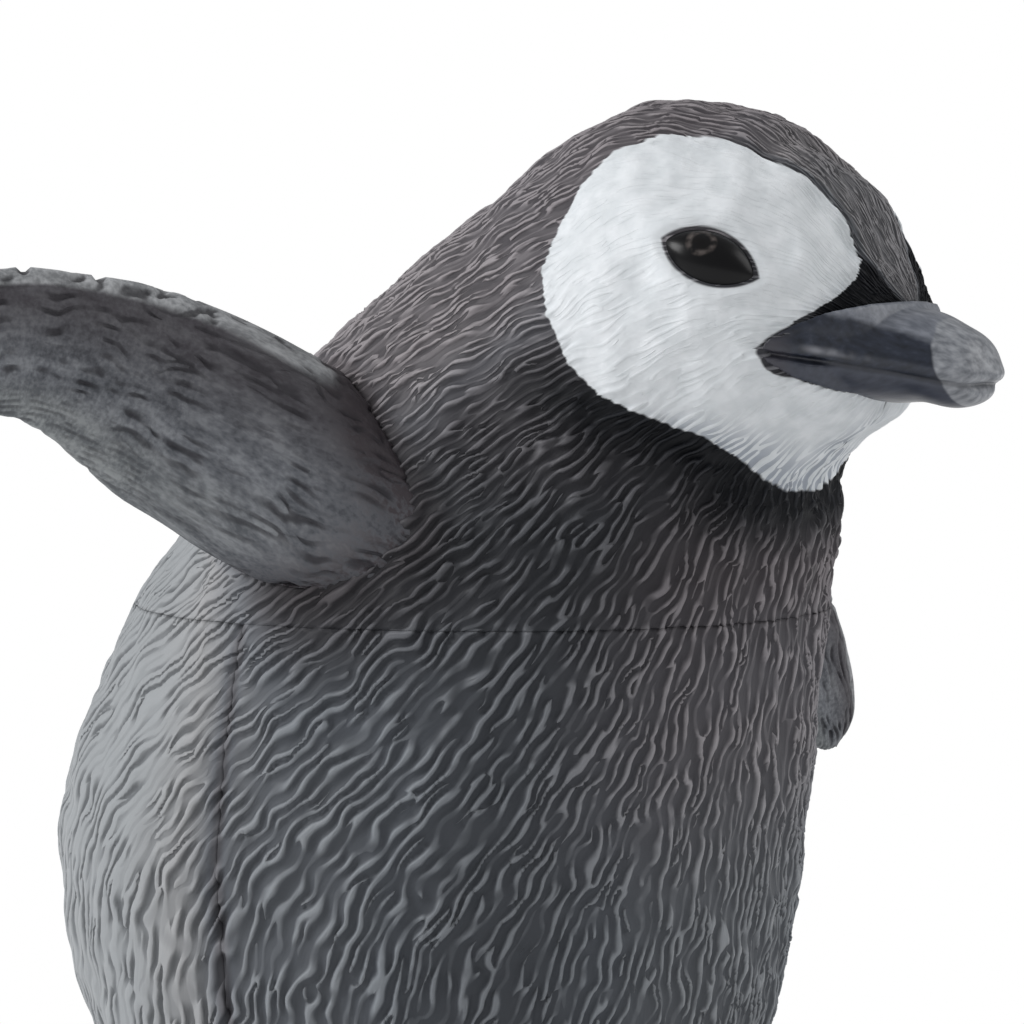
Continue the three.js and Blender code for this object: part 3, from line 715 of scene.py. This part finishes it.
def lower_half(name, rear):
    """The belly or the back, from the underside to the chest."""
    piece, across, up = sheet_of(name, *LOWER_GRID)
    places = even_places(0, CHEST - HAIRLINE / 2, math.radians(90), up)
    seam = seam_angle(places)
    if rear:
        angles = seam + HAIRLINE / 2 + across * 2 * (math.pi - seam - HAIRLINE / 2)
        angles = np.where(angles > math.pi, angles - 2 * math.pi, angles)
    else:
        angles = (across * 2 - 1) * (seam - HAIRLINE / 2)
    mark_down(piece.data, places, angles)
    wrap(piece, skin(places, angles))
    carve(piece, "carved_down", down_height)
    close_rims(piece)
    return piece


settle(lower_half("belly_skin", False), "belly_shell", down)

# Back: the rear half of the lower body, with the short tail cast on. The tail is a flat wedge of down
# that slopes from the rump to the ground and props the figurine.
TAIL_LENGTH = 14
TAIL_WIDTH = 24
TAIL_HEIGHT = 12
TAIL_SECTIONS = ((-0.57, 1.08, 1.16), (0, 1, 1), (0.5, 0.75, 0.6), (0.86, 0.5, 0.33), (1, 0, 0))
TAIL_ROOT = 1.35
TAIL_STROKE = 0.9
TAIL_STROKE_LENGTH = 4.6
TAIL_SHIFT = 60
TAIL_GRID = (110, 70)
TAIL_MARKS = {
    "slits": 1, "depth": STROKE_DEPTH * MM, "tuft": MM, "lift": 0, "white": -9, "bare": 0, "tone": 0.8,
    "brown": 0, "throat": 0,
}


def ring_shares(sections, shares):
    """The values of a row of sections at shares of the way along them."""
    return [girth(values, shares * (len(sections) - 1)) for values in zip(*sections)]


shell = lower_half("back_skin", True)
tail, across, up = sheet_of("tail", *TAIL_GRID)
root = skin(np.array([TAIL_ROOT]), np.array([math.pi]))[0]
behind, wide, high = ring_shares(TAIL_SECTIONS, up)
turn = across * 2 * math.pi
half_high = np.maximum(high, 0) * TAIL_HEIGHT / 2
half_wide = np.maximum(wide, 0) * TAIL_WIDTH / 2
points = np.column_stack([
    half_wide * np.cos(turn),
    root[1] - behind * TAIL_LENGTH,
    root[2] * (1 - behind) + half_high * (1 + np.sin(turn)),
])
reach = (TAIL_WIDTH + TAIL_HEIGHT) / (4 * TAIL_STROKE * STROKES_A_CELL)
attach(tail.data, "strand", np.column_stack([
    reach * np.cos(turn), reach * np.sin(turn), TAIL_SHIFT - TAIL_LENGTH * behind / TAIL_STROKE_LENGTH]))
attach(tail.data, "spot", points)
for name, value in TAIL_MARKS.items():
    attach(tail.data, name, np.full(len(points), value))
wrap(tail, points)
carve(tail, "carved_down", down_height)
close_rims(tail)
bpy.ops.object.select_all(action="DESELECT")
tail.select_set(True)
shell.select_set(True)
bpy.context.view_layer.objects.active = shell
bpy.ops.object.join()
settle(shell, "back_shell", down)

# Flippers: solid blades, each cast with a tenon and glued through the shoulder. A fairing runs from a
# leaning oval on the shoulder to the blade. Short strokes lie along it, the leading edge has broad
# scales with a painted highlight, and the trailing edge fine strands. Painted shade darkens the root.
ROOT_EDGE = 0.5
ROOT_SINK = 2.4
ROOT_INLET = 0.6
INLET_FRONT = (-0.3, 0.4)
INLET_TOP = (0.2, 0.8)
FLIPPER_LENGTH = 49.5
FLIPPER_CHORD = 23.5
FLIPPER_THICKNESS = 22
FAIRING = 0.24
FLIPPER_SECTIONS = (
    (0, 0.01, 1, 1), (0.28, 0.178, 0.85, 0.34), (0.485, 0.262, 0.63, 0.24), (0.687, 0.27, 0.536, 0.19),
    (0.869, 0.23, 0.468, 0.155), (0.966, 0.196, 0.281, 0.11), (1, 0.186, 0, 0),
)
FLIPPER_POSES = (("right_flipper", -1, -32, 0), ("left_flipper", 1, 10, 50))
SUNK_SHARE = 0.03
LEAD_TRIM = 0.1
BLADE_STROKE = 1.9
BLADE_STROKE_LENGTH = 3.4
BLADE_SHIFT = 7
BLADE_ACROSS = (1.0, 0.0, 0.25)
BLADE_WAVER = (1.6, 1.6, 0.4)
BLADE_WAVER_SCALE = (0.4, 0.4, 0.9)
BLADE_FADE_SCALE = (0.6, 0.6, 1.4)
STRAND_FADE_SCALE = (1.5, 1.5, 1.8)
BLADE_RELIEF = 0.3
LEAD_RELIEF = 0.15
BLADE_LUMPS = 0.8
STRANDS = 18
LEAD_EDGE = (0.66, 0.9)
LEAD_START = (0.06, 0.16)
TRAIL_EDGE = (0.4, 0.8)
TRAIL_START = (0.1, 0.3)
BLADE_ROOT_SHADE_END = (0.02, 0.18)
FLIPPER_GRID = (220, 160)


def root_ring(side, turn, lift):
    """The flipper's oval on the shoulder, lifted off the skin, but let into it low down in front."""
    flush = ease(*INLET_FRONT, side * np.sin(turn)) * (1 - ease(*INLET_TOP, np.cos(turn)))
    lift = lift + flush * (-ROOT_INLET - lift)
    places = FLIPPER_ROOT[0] + ROOT_SPREAD[0] * np.cos(turn)
    lean = FLIPPER_ROOT[1] + ROOT_LEAN * np.cos(turn)
    angles = np.radians(side * lean - ROOT_SPREAD[1] * np.sin(turn))
    return skin(places, angles) + lift[:, None] * skin_normal(places, angles)


def vane_strokes(strand, lead, trail):
    """The flipper's relief, from 0 to 1: slits in the blade, feather tips in front and strands behind."""
    waver = strand.scaled(*BLADE_WAVER_SCALE).noise(1.0, 1.0, out="Color")
    wavy = strand.vector("ADD", waver.scaled(*BLADE_WAVER))
    fade = strand.scaled(*BLADE_FADE_SCALE).noise(1.0, 1.0).ease(0.4, 0.65)
    slit = 1 - fade * (1 - wavy.comb(BLADE_ACROSS).ease(-1.0, 0.1))
    x, y, z = wavy.parts()
    slanted = strand.node("ShaderNodeCombineXYZ", {0: x + 1.4 * z, 1: y, 2: 1.8 * z})
    tips = slanted.noise(1.0, 1.0).ease(0.4, 0.5)
    combed = STRANDS * (strand.parts()[0] + 0.2 * x)
    groove = combed.math("SINE").ease(-1.0, 0.6, 0.45, 0.0)
    strands = 1 - groove * strand.scaled(*STRAND_FADE_SCALE).noise(1.0, 1.0).ease(0.38, 0.6)
    return slit + lead * (tips - slit) + trail * (strands - slit)


def flipper_height(mark):
    """The height of the carved blade: strokes and low lumps, with the strokes' ground at the skin."""
    relief = vane_strokes(mark("strand", "FLOAT_VECTOR"), mark("lead"), mark("trail"))
    lumps = mark("strand", "FLOAT_VECTOR").noise(0.6, 1.0) - 0.5
    height = (BLADE_RELIEF + LEAD_RELIEF * mark("lead")) * relief + BLADE_LUMPS * lumps
    return MM * (height - BLADE_RELIEF)


vane, wire, shader = finish_of("painted_flipper")
strand = wire.mark("strand", "Vector")
lead, trail, blade_root_shade = wire.mark("lead"), wire.mark("trail"), wire.mark("blade_root_shade")
relief = vane_strokes(strand, lead, trail)
soft = strand.scaled(1.2, 1.2, 0.8).noise(1.0, 3.0)
stipple = strand.scaled(4.5, 4.5, 9.0).noise(1.0, 2.0)
mottle = soft * 0.6 + stipple * 0.4
slate = mottle.ramp((0.36, paint(82, 85, 91)), (0.5, paint(114, 117, 123)), (0.64, paint(142, 145, 150)))
# A painted highlight on the leading edge's scales
lead_highlight = mottle.ramp((0.4, paint(130, 132, 135)), (0.6, paint(180, 182, 185)))
combed = mottle.ramp((0.4, paint(112, 116, 120)), (0.6, paint(158, 162, 164)))
# Darker brown over the front half of the blade, and ragged painted shade round its root by the shoulder
shade = (*paint(60, 52, 56), 1)
brown_band_and_root_shade = wire.mark("front").ease(-0.4, 0.6) * 0.65 + blade_root_shade * mottle.ease(0.4, 0.6, 0.3, 1.0)
tinted = slate.mix(shade, brown_band_and_root_shade.math("MINIMUM", 0.9)).mix(combed, trail).mix(lead_highlight, lead.ease(0.3, 0.8))
feed(
    wire, shader,
    Base_Color=tinted.mix((*paint(46, 44, 49), 1), 0.75 - 0.75 * relief),
    Roughness=0.62 - 0.1 * soft, Specular_IOR_Level=0.25,
    Normal=(soft * 0.3 + relief * 0.5 + stipple * 0.3).bump(0.7, 0.3 * MM))

for name, side, sweep, drop in FLIPPER_POSES:
    sweep, drop = math.radians(sweep), math.radians(drop)
    out = np.array([side * math.cos(sweep), math.sin(sweep), 0])
    upright = np.array([0, 0, 1])
    along = math.cos(drop) * out - math.sin(drop) * upright
    rise = math.cos(drop) * upright + math.sin(drop) * out
    face = np.array([-math.sin(sweep), side * math.cos(sweep), 0])
    root = skin(np.array([FLIPPER_ROOT[0]]), np.radians([side * FLIPPER_ROOT[1]]))[0]

    piece, across, up = sheet_of(name + "_skin", *FLIPPER_GRID)
    turn = across * 2 * math.pi
    share = np.clip((up - SUNK_SHARE) / (1 - SUNK_SHARE), 0, 1)
    place, lifted, chord, thick = ring_shares(FLIPPER_SECTIONS, share)
    step = 0.002
    before = ring_shares(FLIPPER_SECTIONS, np.clip(share - step, 0, 1))
    after = ring_shares(FLIPPER_SECTIONS, np.clip(share + step, 0, 1))
    slope = unit(np.column_stack([after[0] - before[0], after[1] - before[1]]))
    middle = root + FLIPPER_LENGTH * (np.outer(place, along) + np.outer(lifted, rise))
    across_blade = np.outer(slope[:, 0], rise) - np.outer(slope[:, 1], along)
    half_chord = np.maximum(chord, 0) * FLIPPER_CHORD / 2
    half_thick = np.maximum(thick, 0) * FLIPPER_THICKNESS / 2
    half_chord *= 1 - LEAD_TRIM * ease(0, 1, np.cos(turn))
    blade = middle + (half_chord * np.cos(turn))[:, None] * across_blade
    blade += np.outer(half_thick * np.sin(turn), face)
    faired = np.clip(place / FAIRING, 0, 1)[:, None]
    lift = np.where(up < SUNK_SHARE / 2, -ROOT_SINK, ROOT_EDGE)
    points = root_ring(side, turn, lift) * (1 - faired) + blade * faired
    off = points - middle
    leading = np.einsum("ij,ij->i", off, across_blade)
    count = place * FLIPPER_LENGTH / BLADE_STROKE_LENGTH + BLADE_SHIFT * side
    attach(piece.data, "strand", np.column_stack([
        leading / BLADE_STROKE, off @ face / BLADE_STROKE, count]))
    front = np.cos(turn)
    attach(piece.data, "front", front)
    attach(piece.data, "lead", ease(*LEAD_EDGE, front) * ease(*LEAD_START, place))
    attach(piece.data, "trail", ease(*TRAIL_EDGE, -front) * ease(*TRAIL_START, place))
    # Painted shade round the blade's root, fading out along the blade
    attach(piece.data, "blade_root_shade", 1 - ease(*BLADE_ROOT_SHADE_END, place))
    wrap(piece, points)
    carve(piece, "carved_flipper", flipper_height)
    close_rims(piece)
    settle(piece, name, vane)

# Beak: a glossy casting with a stem, glued over the front of the face, where its corners lap back over
# the cheeks. The two halves of the bill are parted by a sloping mouth line, and the tip is pale. A
# painted highlight runs along the swell above the mouth line.
BEAK_BASE = (53, 93.5)
BEAK_LENGTH = 7.7
BEAK_DEPTH = 8.4
BEAK_WIDTH = 19.2
BEAK_SECTIONS = (
    (-0.9, -0.381, 1.15, 0.657), (-0.39, -0.375, 1, 0.971), (0.065, -0.357, 0.73, 1),
    (0.468, -0.456, 0.54, 0.921), (0.805, -0.506, 0.36, 0.643), (1, -0.548, 0, 0),
)
MOUTH_HEIGHT = 89.1
MOUTH_SLOPE = math.tan(math.radians(12))
MOUTH_FORWARD = (46, 48)
MOUTH_SINK = 0.18
MOUTH_WIDTH = 0.3
TIP_NOTCH = 0.9
TIP_NOTCH_WIDTH = 0.6
TIP_NOTCH_FORWARD = (58.6, 60.4)
LIP_SWELL = 0.25
LIP_LEVEL = 1.2
LIP_WIDTH = 0.8
CREST_LEVELS = (92.6, 93.3)
CREST_SLOPE = 0.35
TIP_FORWARD = (56.6, 56.9)
TIP_SLOPE = 0.25
TIP_LEVEL = 90
GAPE_FORWARD = (45.6, 47.2)
HIGHLIGHT_FORWARD = (47.2, 48.5)
HIGHLIGHT_END = (50.0, 53.0)
BEAK_VOXEL = 0.2 * MM
BEAK_ROUNDS = 12
HORN_GRID = (60, 60)


def copy_of(node, name):
    """A merged copy of a CAD node's solid."""
    piece = bpy.data.objects.new(name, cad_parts[node].data.copy())
    bpy.context.scene.collection.objects.link(piece)
    merge_points(piece, CAD_MERGE)
    return piece


def soften(piece, voxel, rounds):
    """Fuses a piece's shells into one even skin and rounds its edges."""
    bpy.ops.object.select_all(action="DESELECT")
    piece.select_set(True)
    bpy.context.view_layer.objects.active = piece
    fuse = piece.modifiers.new("fuse", "REMESH")
    fuse.mode = "VOXEL"
    fuse.voxel_size = voxel
    bpy.ops.object.modifier_apply(modifier=fuse.name)
    smooth = piece.modifiers.new("smooth", "SMOOTH")
    smooth.iterations = rounds
    bpy.ops.object.modifier_apply(modifier=smooth.name)


def points_of(piece):
    """A piece's points in millimetres, to the left, forwards and up, and its normals in that order."""
    place = np.empty(len(piece.data.vertices) * 3)
    piece.data.vertices.foreach_get("co", place)
    normal = np.empty(len(place))
    piece.data.vertices.foreach_get("normal", normal)
    place, normal = place.reshape(-1, 3), normal.reshape(-1, 3) * (1, -1, 1)
    points = np.column_stack([place[:, 0] - MIDDLE_X, MIDDLE_Y - place[:, 1], place[:, 2]]) / MM
    return points, normal


horn, across, up = sheet_of("horn", *HORN_GRID)
ahead, above, wide, high = ring_shares(BEAK_SECTIONS, up)
turn = across * 2 * math.pi
points = np.column_stack([
    np.maximum(wide, 0) * BEAK_WIDTH / 2 * np.cos(turn),
    BEAK_BASE[0] + ahead * BEAK_LENGTH,
    BEAK_BASE[1] + above * BEAK_DEPTH + np.maximum(high, 0) * BEAK_DEPTH / 2 * np.sin(turn),
])
wrap(horn, points)
close_rims(horn)
piece = copy_of("beak", "beak_shell")
horn.select_set(True)
bpy.context.view_layer.objects.active = piece
bpy.ops.object.join()
soften(piece, BEAK_VOXEL, BEAK_ROUNDS)
points, normal = points_of(piece)
mouth = MOUTH_HEIGHT - MOUTH_SLOPE * (points[:, 1] - BEAK_BASE[0])
from_mouth = points[:, 2] - mouth
outside = ease(*MOUTH_FORWARD, points[:, 1])
sunk = MOUTH_SINK * bell(from_mouth, 0, MOUTH_WIDTH) * outside
sunk += TIP_NOTCH * bell(from_mouth, 0, TIP_NOTCH_WIDTH) * ease(*TIP_NOTCH_FORWARD, points[:, 1])
swell = LIP_SWELL * bell(from_mouth, LIP_LEVEL, LIP_WIDTH) * outside
points += (swell - sunk)[:, None] * normal
piece.data.vertices.foreach_set("co", placed(points).ravel())
attach(piece.data, "mouth", from_mouth)

bill, wire, shader = finish_of("gloss_bill")
spot = wire.node("ShaderNodeTexCoord", out="Object")
_, toward, height = spot.parts()
forward = (MIDDLE_Y - toward) / MM
level = height / MM
mouth = wire.mark("mouth")
grain = spot.scaled(1 / MM, 0.25 / MM, 1 / MM).noise(1.6, 2.0)
smudge = spot.noise(400.0, 2.0)
navy = grain.ramp((0.3, paint(26, 31, 42)), (0.6, paint(42, 48, 62)), (0.8, paint(60, 66, 80)))
lower = grain.ramp((0.3, paint(50, 55, 68)), (0.7, paint(66, 71, 85)))
crest = grain.ramp((0.3, paint(98, 103, 113)), (0.7, paint(134, 138, 148)))
pale = grain.ramp((0.3, paint(108, 112, 119)), (0.7, paint(164, 167, 173)))
top = (level + CREST_SLOPE * (forward - BEAK_BASE[0]) + 0.8 * (smudge - 0.5)).ease(*CREST_LEVELS)
tip = (forward + TIP_SLOPE * (level - TIP_LEVEL) + 0.5 * (smudge - 0.5)).ease(*TIP_FORWARD)
colour = lower.mix(navy, mouth.ease(-0.3, 0.2)).mix(crest, top).mix(pale, tip)
parting = 1 - mouth.math("ABSOLUTE").ease(0.12, 0.42)
colour = colour.mix((*paint(20, 22, 28), 1), parting * 0.4)
gape = 1 - (forward + 0.6 * (smudge - 0.5)).ease(*GAPE_FORWARD)
colour = colour.mix((*paint(66, 64, 72), 1), gape * 0.7)
# A painted highlight streak on the swell above the mouth line
lip_highlight = mouth.ease(0.5, 1.0) - mouth.ease(1.0, 1.6)
lip_highlight = lip_highlight * (forward.ease(*HIGHLIGHT_FORWARD) - forward.ease(*HIGHLIGHT_END)) * smudge.ease(0.35, 0.6)
colour = colour.mix((*paint(140, 142, 150), 1), lip_highlight * 0.9)
feed(
    wire, shader, Base_Color=colour, Roughness=0.28 + 0.2 * smudge,
    Normal=(grain * 0.5 + smudge * 0.5).bump(0.25, 0.2 * MM))
settle(piece, "beak", bill)

# Eyes: gloss black beads, pointed at both corners and set in sockets in the cheeks. A faint brown-grey
# ring, up and back of the middle of each, is a painted reflection.
EYE_STEPS = 64
REFLECTION_BACK = 1.2
REFLECTION_UP = 0.6
REFLECTION_RADIUS = 1.5
black, wire, shader = finish_of("gloss_eye")
# Black paint with a painted reflection: a faint brown-grey ring up and back of the bead's middle
eye_black_and_reflection = wire.mark("painted_reflection").ramp(
    (0.0, paint(16, 15, 16)), (0.5, paint(24, 22, 22)), (0.7, paint(92, 86, 84)), (0.85, paint(78, 72, 70)),
    (1.0, paint(17, 17, 19)))
cloud = wire.node("ShaderNodeTexCoord", out="Object").noise(900.0, 2.0)
eye_black_and_reflection = eye_black_and_reflection.mix((*paint(17, 17, 19), 1), cloud.ease(0.35, 0.65))
feed(wire, shader, Base_Color=eye_black_and_reflection, Roughness=0.28, Specular_IOR_Level=0.2)
for name, side in (("right_eye", -1), ("left_eye", 1)):
    piece, across, up = sheet_of(name + "_bead", EYE_STEPS, EYE_STEPS)
    turn = across * 2 * math.pi
    sweep = math.asin(EYE_HALF_LENGTH / EYE_ARC) * (2 * up - 1)
    along = EYE_ARC * np.sin(sweep)
    thick = EYE_ARC * np.cos(sweep) + EYE_HALF_HEIGHT - EYE_ARC
    high = thick * np.cos(turn)
    points = eye_middle + np.outer(along, eye_long) + np.outer(high, eye_high)
    points += np.outer(thick * np.sin(turn) * EYE_HALF_DEPTH / EYE_HALF_HEIGHT, eye_out)
    attach(piece.data, "painted_reflection", np.hypot(along + REFLECTION_BACK, high - REFLECTION_UP) / REFLECTION_RADIUS)
    points[:, 0] *= side
    wrap(piece, points)
    settle(piece, name, black)

# Feet: solid castings with three webbed toes and claws, plugged into the belly. The skin has small
# scales, painted near black and brushed grey on top.
FOOT_VOXEL = 0.3 * MM
FOOT_ROUNDS = 6
hide, wire, shader = finish_of("painted_foot")
spot = wire.node("ShaderNodeTexCoord", out="Object")
scales = spot.scaled(1 / MM, 1 / MM, 1 / MM).cells(0.8)
worn = spot.noise(120.0, 3.0)
dark = scales.ramp((0.0, paint(20, 20, 22)), (0.12, paint(38, 38, 41)), (0.4, paint(54, 54, 57)))
feed(
    wire, shader, Base_Color=dark.mix((*paint(78, 78, 80), 1), worn.ease(0.55, 0.75) * 0.4),
    Roughness=0.55, Normal=scales.ease(0.0, 0.3).bump(0.6, 0.3 * MM))
for name in ("right_foot", "left_foot"):
    piece = copy_of(name, name + "_skin")
    soften(piece, FOOT_VOXEL, FOOT_ROUNDS)
    settle(piece, name, hide)

# Stage: a pale floor that fades to white away from the figurine, soft studio light and the camera.
FLOOR_SIZE = 6
FLOOR_FADE = (0.07, 0.125)
ROOM_LIGHT = 0.36
bpy.ops.object.select_all(action="DESELECT")
bpy.ops.mesh.primitive_plane_add(size=FLOOR_SIZE)
floor = bpy.context.object
floor.name = "floor"
pale, wire, shader = finish_of("pale_floor")


def of_rays(*kinds):
    """One for a ray of any of these kinds."""
    first, *rest = (wire.node("ShaderNodeLightPath", out=kind) for kind in kinds)
    for ray in rest:
        first = first.math("MAXIMUM", ray)
    return first


seen = of_rays("Is Camera Ray", "Is Glossy Ray", "Is Transmission Ray")
spot = wire.node("ShaderNodeTexCoord", out="Object")
far = spot.vector("LENGTH", out="Value").ease(*FLOOR_FADE)
glow = wire.node("ShaderNodeEmission", {"Color": (1, 1, 1, 1), "Strength": 1.0})
plain = Wire(wire.tree, shader.outputs["BSDF"])
feed(wire, shader, Base_Color=(*paint(244, 244, 244), 1), Roughness=0.9)
both = wire.node("ShaderNodeMixShader", {0: seen * far, 1: plain, 2: glow})
wire.tree.links.new(both.socket, wire.tree.nodes["Material Output"].inputs["Surface"])
floor.data.materials.append(pale)

world = bpy.data.worlds.new("white_room")
bpy.context.scene.world = world
world.use_nodes = True
wire = Wire(world.node_tree)
seen = of_rays("Is Camera Ray", "Is Transmission Ray")
background = world.node_tree.nodes["Background"]
background.inputs["Color"].default_value = (1, 1, 1, 1)
wire.tree.links.new((seen * (1 - ROOM_LIGHT) + ROOM_LIGHT).socket, background.inputs["Strength"])


def lamp(name, place, aim, size, power):
    """A square lamp that shines from a place to a point."""
    light = bpy.data.lights.new(name, "AREA")
    light.size = size
    light.energy = power
    holder = bpy.data.objects.new(name, light)
    bpy.context.scene.collection.objects.link(holder)
    holder.location = place
    holder.rotation_euler = (Vector(aim) - Vector(place)).to_track_quat("-Z", "Y").to_euler()


LAMP_AIM = (0, 0, 0.06)
lamp("key_light", (-0.5, 0.45, 0.5), LAMP_AIM, 0.35, 4)
lamp("fill_light", (0.35, -0.6, 0.5), LAMP_AIM, 0.5, 1.7)

AZIMUTH = math.radians(-57)
RISE = math.radians(3)
AIM_RIGHT = 7.31
AIM_HEIGHT = 74.83
DISTANCE = 410
FRAME_WIDTH = 99.84
SENSOR = 36
camera_data = bpy.data.cameras.new("camera")
camera = bpy.data.objects.new("camera", camera_data)
bpy.context.scene.collection.objects.link(camera)
bpy.context.scene.camera = camera
aim = Vector((MIDDLE_X, MIDDLE_Y, AIM_HEIGHT * MM))
aim += AIM_RIGHT * MM * Vector((math.cos(AZIMUTH), math.sin(AZIMUTH), 0))
toward = Vector((math.sin(AZIMUTH) * math.cos(RISE), -math.cos(AZIMUTH) * math.cos(RISE), math.sin(RISE)))
camera.location = aim + toward * DISTANCE * MM
camera.rotation_euler = toward.to_track_quat("Z", "Y").to_euler()
camera_data.sensor_width = SENSOR
camera_data.lens = SENSOR * DISTANCE / FRAME_WIDTH
camera_data.clip_start = 0.01
bpy.context.scene.view_settings.view_transform = "Standard"
